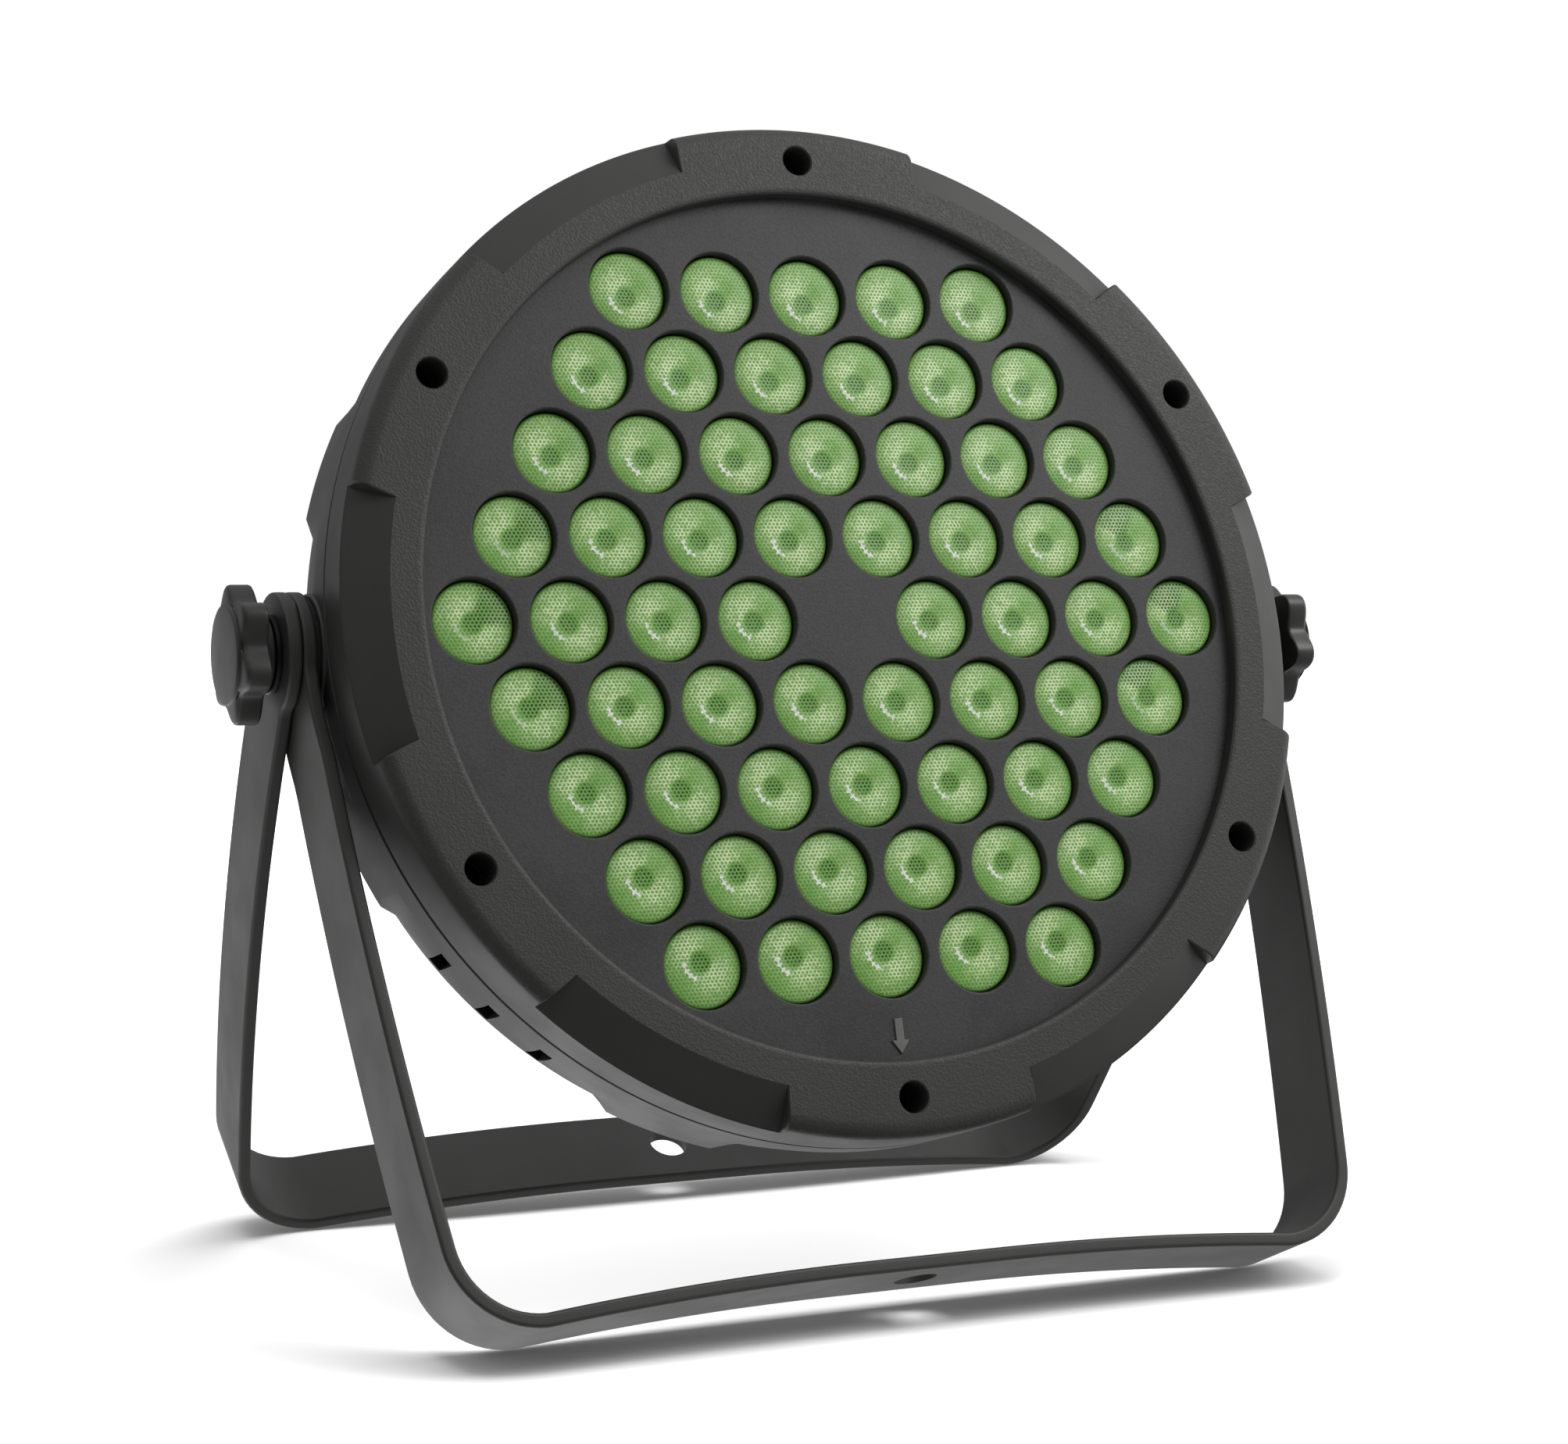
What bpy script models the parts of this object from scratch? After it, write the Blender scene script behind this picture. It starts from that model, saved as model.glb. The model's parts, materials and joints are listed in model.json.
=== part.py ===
"""Par can stage light on a double floor bracket, as separate pieces in metres with +Z up.

The head is modelled in its own frame (x right, y up the face, z out of the face) with its
origin on the tilt axis, and placed by one empty. Each bracket has its own empty on that axis.
"""
import math

import bpy
import bmesh
from mathutils import Matrix, Vector
from mathutils.geometry import tessellate_polygon

MM = 0.001

# Stance
PIVOT_HEIGHT = 154.48      # tilt axis above the floor
PIVOT_Y = -6.68            # tilt axis from the middle of the footprint
HEAD_TILT = 17.14          # face turned up from level
FRONT_LEAN = 25.07
REAR_LEAN = 29.46

# Lens field
PITCH = 24.0
LENS_R = 9.85
PANEL_HOLE_R = 10.95
LENS_PLANE = 27.7          # lens rims in front of the tilt axis

# Bezel and housing, depths measured from the lens rims
FACE_Z = 5.6
BEZEL_R = 127.35
OPENING_R = 108.7
SCREW_CIRCLE_R = 117.6
SEAM_Z = -12.45
BAND_END_Z = -20.9
SHOULDER_R = 64.0
BACK_Z = -86.0
WALL = 2.8

# Tilt joint along X
BOSS_FACE_X = 128.0
STRAP = 3.3
FRONT_EYE_X = 132.5
REAR_EYE_X = 136.0
KNOB_HUB_X = 137.6
KNOB_STAR_X = 140.2
KNOB_FACE_X = 146.6
KNOB_TOP_X = 148.4
KNOB_LOBES = 6
STUD_R = 4.0
EYE_R = 14.6
PAD_HALF = 18.0            # flat middle of each bar, around its bolt hole
FRONT_REACH = 164.7        # tilt axis to the sole of the bar
REAR_REACH = 170.473
# Straps: eye x, splay, bend, reach, drop of the corner, rise of the bar's middle
FRONT_STRAP = (FRONT_EYE_X, -0.0411, -0.000346, FRONT_REACH, 19.1, 3.9)
REAR_STRAP = (REAR_EYE_X, 0.0099, -0.0004625, REAR_REACH, 20.5, 4.85)

PANEL_CENTRE = (0.0, 46.0)
FAN_CENTRE = (0.0, 4.0)
SIGNAL_X = 42.0
SIGNAL_Y = -8.0
INLET_Y = -46.0

for item in list(bpy.data.objects):
    bpy.data.objects.remove(item)

scene = bpy.context.scene
helpers = bpy.data.collections.new("helpers")
scene.collection.children.link(helpers)

LOOKS = {
    "housing_plastic": ((0.055, 0.055, 0.052), 0.0, 0.55),
    "bezel_plastic": ((0.06, 0.06, 0.056), 0.0, 0.6),
    "panel_plastic": ((0.05, 0.05, 0.047), 0.0, 0.6),
    "lens_acrylic": ((0.35, 0.6, 0.2), 0.0, 0.1),
    "board_white": ((0.8, 0.82, 0.8), 0.0, 0.5),
    "board_green": ((0.02, 0.18, 0.06), 0.0, 0.5),
    "aluminium": ((0.6, 0.6, 0.6), 1.0, 0.35),
    "bracket_plastic": ((0.07, 0.07, 0.066), 0.0, 0.5),
    "knob_plastic": ((0.05, 0.05, 0.048), 0.0, 0.4),
    "steel": ((0.55, 0.55, 0.55), 1.0, 0.3),
    "brass": ((0.7, 0.5, 0.2), 1.0, 0.3),
    "rubber": ((0.03, 0.03, 0.03), 0.0, 0.8),
    "black_plastic": ((0.03, 0.03, 0.03), 0.0, 0.5),
    "window": ((0.12, 0.02, 0.02), 0.0, 0.1),
    "button_grey": ((0.3, 0.3, 0.3), 0.0, 0.5),
    "black_steel": ((0.05, 0.05, 0.05), 1.0, 0.4),
    "winding": ((0.75, 0.6, 0.1), 0.0, 0.5),
    "can_blue": ((0.05, 0.08, 0.2), 0.0, 0.3),
}


def material(name):
    made = bpy.data.materials.get(name)
    if made is None:
        colour, metal, rough = LOOKS[name]
        made = bpy.data.materials.new(name)
        made.use_nodes = True
        shader = made.node_tree.nodes["Principled BSDF"]
        shader.inputs["Base Color"].default_value = (*colour, 1.0)
        shader.inputs["Metallic"].default_value = metal
        shader.inputs["Roughness"].default_value = rough
    return made


def empty(name, location, rotation_x=0.0):
    """A frame on a joint axis."""
    made = bpy.data.objects.new(name, None)
    made.empty_display_size = 0.02
    made.location = [v * MM for v in location]
    made.rotation_euler = (math.radians(rotation_x), 0.0, 0.0)
    scene.collection.objects.link(made)
    return made


def finish(bm, name, look, parent, smooth=False, helper=False):
    """Turns a bmesh in millimetres into an object in metres."""
    bmesh.ops.remove_doubles(bm, verts=bm.verts, dist=0.002)
    bmesh.ops.recalc_face_normals(bm, faces=bm.faces)
    bmesh.ops.scale(bm, vec=(MM, MM, MM), verts=bm.verts)
    mesh = bpy.data.meshes.new(name)
    bm.to_mesh(mesh)
    bm.free()
    made = bpy.data.objects.new(name, mesh)
    made.parent = parent
    if helper:
        helpers.objects.link(made)
        made.hide_render = True
        made.display_type = "WIRE"
    else:
        scene.collection.objects.link(made)
        mesh.materials.append(material(look))
        if smooth:
            mesh.shade_smooth()
    return made


def boolean(target, other, operation="DIFFERENCE"):
    step = target.modifiers.new(operation.lower(), "BOOLEAN")
    step.operation = operation
    step.solver = "EXACT"
    step.object = other


def circle(radius, count, centre=(0.0, 0.0), turn=0.0):
    angles = [turn + 2 * math.pi * i / count for i in range(count)]
    return [(centre[0] + radius * math.cos(a), centre[1] + radius * math.sin(a)) for a in angles]


def rectangle(width, height, centre=(0.0, 0.0), corner=0.0):
    x, y = centre
    w, h = width / 2, height / 2
    if corner == 0.0:
        return [(x - w, y - h), (x + w, y - h), (x + w, y + h), (x - w, y + h)]
    c = corner
    return [
        (x - w + c, y - h), (x + w - c, y - h), (x + w, y - h + c), (x + w, y + h - c),
        (x + w - c, y + h), (x - w + c, y + h), (x - w, y + h - c), (x - w, y - h + c),
    ]


def add_loft(bm, rings, closed=False):
    """Skins a list of equal rings. Closed joins the last ring to the first, else both ends get a cap."""
    made = [[bm.verts.new(p) for p in ring] for ring in rings]
    count = len(made[0])
    pairs = list(zip(made, made[1:]))
    if closed:
        pairs.append((made[-1], made[0]))
    for a, b in pairs:
        for i in range(count):
            j = (i + 1) % count
            bm.faces.new((a[i], a[j], b[j], b[i]))
    if not closed:
        bm.faces.new(made[0][::-1])
        bm.faces.new(made[-1])
    return made


def add_prism(bm, loop, z0, z1):
    add_loft(bm, [[(x, y, z0) for x, y in loop], [(x, y, z1) for x, y in loop]])


def add_plate(bm, outer, holes, z0, z1):
    """A flat plate with holes right through it."""
    loops = [outer, *holes]
    flat = [Vector((x, y, 0.0)) for loop in loops for x, y in loop]
    triangles = tessellate_polygon([[Vector((x, y, 0.0)) for x, y in loop] for loop in loops])
    low = [bm.verts.new((v.x, v.y, z0)) for v in flat]
    high = [bm.verts.new((v.x, v.y, z1)) for v in flat]
    for a, b, c in triangles:
        bm.faces.new((low[a], low[c], low[b]))
        bm.faces.new((high[a], high[b], high[c]))
    start = 0
    for loop in loops:
        count = len(loop)
        for i in range(count):
            a, b = start + i, start + (i + 1) % count
            bm.faces.new((low[a], low[b], high[b], high[a]))
        start += count


def add_lathe(bm, profile, count, centre=(0.0, 0.0), turn=0.0):
    """Turns (radius, z) points about the z axis. The first and last radius may be zero."""
    rings = []
    for radius, z in profile:
        if radius == 0.0:
            rings.append([bm.verts.new((centre[0], centre[1], z))])
        else:
            rings.append([bm.verts.new((x, y, z)) for x, y in circle(radius, count, centre, turn)])
    for a, b in zip(rings, rings[1:]):
        for i in range(count):
            j = (i + 1) % count
            if len(a) == 1:
                bm.faces.new((a[0], b[j], b[i]))
            elif len(b) == 1:
                bm.faces.new((a[i], a[j], b[0]))
            else:
                bm.faces.new((a[i], a[j], b[j], b[i]))


def add_box(bm, low, high):
    x0, y0, z0 = low
    x1, y1, z1 = high
    add_prism(bm, [(x0, y0), (x1, y0), (x1, y1), (x0, y1)], z0, z1)


def turned(bm, matrix):
    bmesh.ops.transform(bm, matrix=matrix, verts=bm.verts)


ALONG_X = Matrix.Rotation(math.radians(90), 4, "Y")


head = empty("head_frame", (0, PIVOT_Y, PIVOT_HEIGHT), 90 - HEAD_TILT)
lens_frame = empty("lens_frame", (0, 0, LENS_PLANE))
lens_frame.parent = head

LENSES = []
for row in range(-4, 5):
    across = 9 - abs(row)
    for i in range(across):
        spot = ((i - (across - 1) / 2) * PITCH, row * PITCH * math.sqrt(3) / 2)
        if math.hypot(*spot) > 1.0:
            LENSES.append(spot)


# ---- front bezel: a ring with six lobes and six sloped facets

def bezel_ring(angles, facet):
    inner, shift = math.radians(angles[0]), math.radians(angles[1])
    top = (117.2, FACE_Z) if facet else (125.5, FACE_Z)
    rim = (127.0, -0.4) if facet else (126.8, FACE_Z - 1.2)
    points = [
        (OPENING_R, 2.2, inner), (OPENING_R, FACE_Z - 0.5, inner), (OPENING_R + 0.5, FACE_Z, inner),
        (*top, inner if facet else shift), (*rim, shift), (BEZEL_R, -12.2, shift),
        (124.5, -12.2, shift), (124.3, -9.0, shift), (113.0, -9.0, inner), (113.0, 2.2, inner),
    ]
    return [(r * math.cos(a), r * math.sin(a), z) for r, z, a in points]


bm = bmesh.new()
rings = []
for sector in range(6):
    middle = sector * 60
    for step in (-14.0, -7.0, 0.0, 7.0, 14.0):
        edge = step * 1.066
        rings.append(bezel_ring((middle + step, middle + edge), True))
    for step in (14.12, 19.4, 24.7, 30.0, 35.3, 40.6, 45.88):
        edge = middle + 30 + (step - 30) * 0.946
        rings.append(bezel_ring((middle + step, edge), False))
add_loft(bm, rings, closed=True)
front_bezel = finish(bm, "front_bezel", "bezel_plastic", lens_frame)

SCREWS = circle(SCREW_CIRCLE_R, 6, turn=math.radians(30))
bm = bmesh.new()
for spot in SCREWS:
    add_lathe(bm, [(0, -10.5), (1.8, -10.5), (1.8, -5.0), (3.8, -5.0), (3.8, 7.0), (0, 7.0)], 12, spot)
boolean(front_bezel, finish(bm, "bezel_bores", None, lens_frame, helper=True))


def screw(name, spot, frame, head_r, head_h, shank_r, length, seat, outward):
    """A pan-head screw whose head bears at height seat and whose head faces outward (+1 or -1)."""
    o = outward
    profile = [
        (0, seat - o * length), (shank_r, seat - o * length), (shank_r, seat), (head_r, seat),
        (head_r * 0.8, seat + o * head_h), (0, seat + o * head_h),
    ]
    shape = bmesh.new()
    add_lathe(shape, profile, 8, spot)
    finish(shape, name, "black_steel" if head_r > 3 else "steel", frame)


for number, spot in enumerate(SCREWS, 1):
    screw(f"bezel_screw_{number}", spot, lens_frame, 3.2, 2.2, 1.6, 10.2, -4.8, 1)


# ---- lens panel with its raised arrow

bm = bmesh.new()
add_plate(bm, circle(112.6, 60), [circle(PANEL_HOLE_R, 8, spot) for spot in LENSES], -1.3, 1.9)
lens_panel = finish(bm, "lens_panel", "panel_plastic", lens_frame)
ARROW = [
    (-1.05, -98.4), (-1.05, -103.6), (-2.3, -103.6), (0.0, -106.9), (2.3, -103.6), (1.05, -103.6),
    (1.05, -98.4),
]
bm = bmesh.new()
add_prism(bm, ARROW[::-1], 0.9, 2.35)
boolean(lens_panel, finish(bm, "arrow_block", None, lens_frame, helper=True), "UNION")


# ---- lens array: one moulding, sixty lenses on a shared web

bm = bmesh.new()
WEB_TOP, WEB_LOW, CONE_LOW = -1.6, -3.6, -11.6
FRONT_SIDES, BACK_SIDES = 8, 5
rim_loop = circle(108.0, 48)
fronts = [circle(LENS_R, FRONT_SIDES, spot) for spot in LENSES]
backs = [circle(9.2, BACK_SIDES, spot) for spot in LENSES]


def add_cover(shape, loops, z, upward):
    flat = [(x, y) for loop in loops for x, y in loop]
    made = [shape.verts.new((x, y, z)) for x, y in flat]
    for a, b, c in tessellate_polygon([[Vector((x, y, 0.0)) for x, y in loop] for loop in loops]):
        shape.faces.new((made[a], made[b], made[c]) if upward else (made[a], made[c], made[b]))
    return made


top = add_cover(bm, [rim_loop, *fronts], WEB_TOP, True)
low = add_cover(bm, [rim_loop, *backs], WEB_LOW, False)
for i in range(48):
    j = (i + 1) % 48
    bm.faces.new((low[i], low[j], top[j], top[i]))
for index, (x, y) in enumerate(LENSES):
    base = top[48 + index * FRONT_SIDES:48 + (index + 1) * FRONT_SIDES]
    rim = [bm.verts.new((v.co.x, v.co.y, 0.0)) for v in base]
    crown = bm.verts.new((x, y, 1.2))
    for i in range(FRONT_SIDES):
        j = (i + 1) % FRONT_SIDES
        bm.faces.new((base[i], base[j], rim[j], rim[i]))
        bm.faces.new((rim[i], rim[j], crown))
    base = low[48 + index * BACK_SIDES:48 + (index + 1) * BACK_SIDES]
    tip = [bm.verts.new((x + (v.co.x - x) * 0.45, y + (v.co.y - y) * 0.45, CONE_LOW)) for v in base]
    for i in range(BACK_SIDES):
        j = (i + 1) % BACK_SIDES
        bm.faces.new((base[i], base[j], tip[j], tip[i]))
    bm.faces.new(tip)
finish(bm, "lens_array", "lens_acrylic", lens_frame)


# ---- LED board, heat sink

bm = bmesh.new()
chips = [rectangle(5.0, 5.0, spot) for spot in LENSES]
board_rim = circle(110.0, 48)
top = add_cover(bm, [board_rim, *chips], -13.0, True)
low = add_cover(bm, [board_rim], -14.6, False)
for i in range(48):
    j = (i + 1) % 48
    bm.faces.new((low[i], low[j], top[j], top[i]))
for index in range(len(LENSES)):
    base = top[48 + index * 4:52 + index * 4]
    face = [bm.verts.new((v.co.x, v.co.y, -12.1)) for v in base]
    for i in range(4):
        j = (i + 1) % 4
        bm.faces.new((base[i], base[j], face[j], face[i]))
    bm.faces.new(face)
finish(bm, "led_board", "board_white", lens_frame)

bm = bmesh.new()
add_prism(bm, circle(112.3, 48), -17.9, -14.9)
heat_sink = finish(bm, "heat_sink", "aluminium", lens_frame)
bm = bmesh.new()
for i in range(9):
    y = (i - 4) * 5.6
    add_box(bm, (-38, y - 0.8, -38), (38, y + 0.8, -16.4))
for x in (-45, 45):
    for y in (-27, 27):
        add_prism(bm, circle(3.0, 10, (x, y)), -49.7, -16.4)
boolean(heat_sink, finish(bm, "fins_and_posts", None, lens_frame, helper=True), "UNION")


# ---- rear housing: a shell with a band, a rounded shoulder, pads and a flat back

PADS = [(16.0, 28.0), (61.0, 74.0)]
PAD_EDGES = []
for first, last in PADS:
    for base, sign in ((0, 1), (0, -1), (180, 1), (180, -1)):
        PAD_EDGES.append(tuple(sorted(((base + sign * first) % 360, (base + sign * last) % 360))))


def on_pad(angle):
    return any(a <= angle % 360 <= b for a, b in PAD_EDGES)


def shell_ring(angle, pad):
    a = math.radians(angle)
    centre = BEZEL_R - 0.8 - SHOULDER_R
    outer, inner = [], []
    for degrees in (0, 13, 27, 43, 62, 82):
        t = math.radians(degrees)
        r, z = centre + SHOULDER_R * math.cos(t), BAND_END_Z - 0.5 - SHOULDER_R * math.sin(t)
        if pad and degrees < 14:
            r, z = BEZEL_R, (BAND_END_Z - 1.2 if degrees == 0 else BAND_END_Z - 15.1)
        outer.append((r, z))
    for degrees in (0, 22, 46, 82):
        t = math.radians(degrees)
        r = centre + (SHOULDER_R - WALL) * math.cos(t)
        inner.append((r, BAND_END_Z - 0.9 - (SHOULDER_R - WALL) * math.sin(t)))
    points = [(10.0, BACK_Z), (69.0, BACK_Z), *outer[::-1], (BEZEL_R, BAND_END_Z), (BEZEL_R, -12.7)]
    points += [(123.9, -12.7), (123.9, -9.4), (113.4, -9.4), (113.4, -18.2), (110.0, -18.2), (110.0, -21.0)]
    points += [*inner, (67.0, BACK_Z + WALL), (10.0, BACK_Z + WALL)]
    return [(r * math.cos(a), r * math.sin(a), z) for r, z in points]


borders = [mark for pair in PAD_EDGES for mark in pair]
angles = [(9.0 * i, on_pad(9.0 * i)) for i in range(40) if min(abs(9.0 * i - b) for b in borders) > 2.8]
for first, last in PAD_EDGES:
    angles += [(first - 0.25, False), (first + 0.25, True), (last - 0.25, True), (last + 0.25, False)]
angles.sort()
bm = bmesh.new()
made = [[bm.verts.new(p) for p in shell_ring(a, pad)] for a, pad in angles]
count = len(made[0])
for a, b in zip(made, made[1:] + made[:1]):
    for i in range(count - 1):
        bm.faces.new((a[i], b[i], b[i + 1], a[i + 1]))
bm.faces.new([ring[0] for ring in made])
bm.faces.new([ring[-1] for ring in made][::-1])
rear_housing = finish(bm, "rear_housing", "housing_plastic", lens_frame)

bm = bmesh.new()
for side in (-1, 1):
    shape = bmesh.new()
    add_prism(shape, circle(14.2, 20), 113.8, BOSS_FACE_X)
    turned(shape, ALONG_X if side > 0 else ALONG_X.inverted())
    bmesh.ops.translate(shape, vec=(0, 0, -LENS_PLANE), verts=shape.verts)
    part = bpy.data.meshes.new("boss")
    shape.to_mesh(part)
    shape.free()
    bm.from_mesh(part)
boolean(rear_housing, finish(bm, "pivot_bosses", None, lens_frame, helper=True), "UNION")

bm = bmesh.new()
for spot in SCREWS:
    add_prism(bm, circle(1.8, 10, spot), -16.6, -8.0)
add_prism(bm, circle(22.5, 24, FAN_CENTRE), BACK_Z - 2, BACK_Z + WALL + 2)
add_box(bm, (-29.5, PANEL_CENTRE[1] - 7.5, BACK_Z - 2), (5.5, PANEL_CENTRE[1] + 7.5, BACK_Z + WALL + 2))
BUTTONS = [(13.0, 51.5), (24.0, 51.5), (13.0, 40.5), (24.0, 40.5)]
for spot in BUTTONS:
    add_prism(bm, circle(3.1, 10, spot), BACK_Z - 2, BACK_Z + WALL + 2)
for x in (-SIGNAL_X, SIGNAL_X):
    add_prism(bm, circle(11.9, 16, (x, SIGNAL_Y)), BACK_Z - 2, BACK_Z + WALL + 2)
add_box(bm, (-14.9, INLET_Y - 14.9, BACK_Z - 2), (14.9, INLET_Y + 14.9, BACK_Z + WALL + 2))
SMALL_SCREWS = [(-20.5, INLET_Y), (20.5, INLET_Y)]
for x in (-SIGNAL_X, SIGNAL_X):
    SMALL_SCREWS += [(x - 9.8, SIGNAL_Y + 12.2), (x + 9.8, SIGNAL_Y - 12.2)]
for spot in SMALL_SCREWS:
    add_prism(bm, circle(1.4, 8, spot), BACK_Z - 2, BACK_Z + WALL + 2)
add_prism(bm, circle(2.2, 10, (50.0, 34.0)), BACK_Z - 2, BACK_Z + WALL + 2)
for side in (-1, 1):
    shape = bmesh.new()
    add_prism(shape, circle(6.2, 16), 110.0, BOSS_FACE_X + 2)
    turned(shape, ALONG_X if side > 0 else ALONG_X.inverted())
    bmesh.ops.translate(shape, vec=(0, 0, -LENS_PLANE), verts=shape.verts)
    part = bpy.data.meshes.new("bore")
    shape.to_mesh(part)
    shape.free()
    bm.from_mesh(part)
for quarter in (0, 1, 2, 3):
    for slot in (36.2, 43.6, 50.9):
        angle = (slot, 180 - slot, 180 + slot, 360 - slot)[quarter]
        shape = bmesh.new()
        add_box(shape, (117, -1.9, -38.2), (131, 1.9, -22.3))
        turned(shape, Matrix.Rotation(math.radians(angle), 4, "Z"))
        part = bpy.data.meshes.new("slot")
        shape.to_mesh(part)
        shape.free()
        bm.from_mesh(part)
boolean(rear_housing, finish(bm, "housing_openings", None, lens_frame, helper=True))


# ---- cooling fan

bm = bmesh.new()
add_plate(bm, rectangle(50, 50, FAN_CENTRE, 3), [circle(23.6, 24, FAN_CENTRE)], -82.9, -72.9)
fan_frame = finish(bm, "fan_frame", "black_plastic", lens_frame)
bm = bmesh.new()
add_prism(bm, circle(9.5, 16, FAN_CENTRE), -74.6, -73.2)
spider = finish(bm, "fan_spider", None, lens_frame, helper=True)
bm = bmesh.new()
add_prism(bm, circle(1.55, 16, FAN_CENTRE), -77.4, -73.9)
pin = finish(bm, "fan_pin", None, lens_frame, helper=True)
bm = bmesh.new()
for i in range(3):
    shape = bmesh.new()
    add_box(shape, (7, -1.2, -74.4), (24.4, 1.2, -73.4))
    turned(shape, Matrix.Translation((*FAN_CENTRE, 0)) @ Matrix.Rotation(math.radians(30 + 120 * i), 4, "Z"))
    part = bpy.data.meshes.new("strut")
    shape.to_mesh(part)
    shape.free()
    bm.from_mesh(part)
struts = finish(bm, "fan_struts", None, lens_frame, helper=True)
boolean(fan_frame, spider, "UNION")
boolean(fan_frame, struts, "UNION")
boolean(fan_frame, pin, "UNION")

fan_axis = empty("fan_axis", (*FAN_CENTRE, -78.6))
fan_axis.parent = lens_frame
bm = bmesh.new()
add_lathe(bm, [(0, -3.8), (8.2, -3.8), (9.0, -3.0), (9.0, 3.6), (1.7, 3.6), (1.7, 0.8), (0, 0.8)], 16)
fan_rotor = finish(bm, "fan_rotor", "black_plastic", fan_axis)
bm = bmesh.new()
for i in range(7):
    shape = bmesh.new()
    add_box(shape, (8.0, -4.6, -0.45), (22.4, 4.6, 0.45))
    turned(shape, Matrix.Rotation(math.radians(32), 4, "X"))
    turned(shape, Matrix.Rotation(2 * math.pi * i / 7, 4, "Z"))
    part = bpy.data.meshes.new("blade")
    shape.to_mesh(part)
    shape.free()
    bm.from_mesh(part)
boolean(fan_rotor, finish(bm, "fan_blades", None, fan_axis, helper=True), "UNION")


def sector(inner, outer, first, last, centre, steps):
    turns = [math.radians(first + (last - first) * i / steps) for i in range(steps + 1)]
    loop = [(centre[0] + outer * math.cos(t), centre[1] + outer * math.sin(t)) for t in turns]
    return loop + [(centre[0] + inner * math.cos(t), centre[1] + inner * math.sin(t)) for t in turns[::-1]]


bm = bmesh.new()
holes = []
for inner, outer, gap in ((7.0, 11.6, 9.0), (13.4, 18.0, 5.0), (19.8, 24.0, 3.6)):
    for i in range(4):
        holes.append(sector(inner, outer, 90 * i + gap, 90 * i + 90 - gap, FAN_CENTRE, 3))
add_plate(bm, circle(26.4, 24, FAN_CENTRE), holes, BACK_Z - 2.2, BACK_Z - 0.3)
finish(bm, "fan_guard", "black_plastic", lens_frame)


# ---- power supply and control electronics

bm = bmesh.new()
holes = [circle(1.5, 8, (x, y)) for x in (-45, 45) for y in (-27, 27)]
add_plate(bm, rectangle(100, 64, corner=3), holes, -51.6, -50.0)
finish(bm, "power_supply_board", "board_green", lens_frame)

bm = bmesh.new()
add_box(bm, (-25.0, -9.0, -69.0), (-1.0, 13.0, -53.2))
transformer = finish(bm, "transformer", "winding", lens_frame)
bm = bmesh.new()
add_box(bm, (-21.0, -12.0, -66.0), (-5.0, 16.0, -51.9))
boolean(transformer, finish(bm, "transformer_core", None, lens_frame, helper=True), "UNION")

bm = bmesh.new()
add_lathe(bm, [(0, -51.9), (8.0, -51.9), (8.0, -69.2), (7.2, -70.0), (0, -70.0)], 14, (14.0, 8.0))
finish(bm, "main_capacitor", "can_blue", lens_frame)

bm = bmesh.new()
add_prism(bm, [(4, -24), (26, -24), (26, -12), (24.4, -12), (24.4, -22.4), (5.6, -22.4), (5.6, -12), (4, -12)],
          -66.0, -51.9)
finish(bm, "regulator_heat_sink", "aluminium", lens_frame)

bm = bmesh.new()
add_plate(bm, rectangle(62, 24, PANEL_CENTRE, 2), [], -76.6, -75.0)
control_board = finish(bm, "control_board", "board_green", lens_frame)
bm = bmesh.new()
for x, y in BUTTONS:
    add_box(bm, (x - 3, y - 3, -78.4), (x + 3, y + 3, -76.0))
boolean(control_board, finish(bm, "switch_bodies", None, lens_frame, helper=True), "UNION")

bm = bmesh.new()
add_box(bm, (-28.5, PANEL_CENTRE[1] - 6.5, -86.1), (4.5, PANEL_CENTRE[1] + 6.5, -76.9))
finish(bm, "display_module", "black_plastic", lens_frame)

bm = bmesh.new()
window = rectangle(34.0, 14.0, (-12.0, PANEL_CENTRE[1]))
add_plate(bm, rectangle(64, 26, PANEL_CENTRE, 3), [window] + [circle(3.1, 10, spot) for spot in BUTTONS],
          BACK_Z - 1.8, BACK_Z - 0.3)
finish(bm, "control_panel", "panel_plastic", lens_frame)

bm = bmesh.new()
add_box(bm, (-28.7, PANEL_CENTRE[1] - 6.7, BACK_Z - 1.6), (4.7, PANEL_CENTRE[1] + 6.7, BACK_Z - 0.5))
finish(bm, "display_window", "window", lens_frame)

for name, spot in zip(("button_menu", "button_up", "button_enter", "button_down"), BUTTONS):
    bm = bmesh.new()
    profile = [(0, -79.6), (3.8, -79.6), (3.8, -82.4), (2.7, -82.4), (2.7, -88.6), (2.2, -89.2), (0, -89.2)]
    add_lathe(bm, profile, 10, spot)
    finish(bm, name, "button_grey", lens_frame)


# ---- signal sockets, power inlet, safety eye

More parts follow.
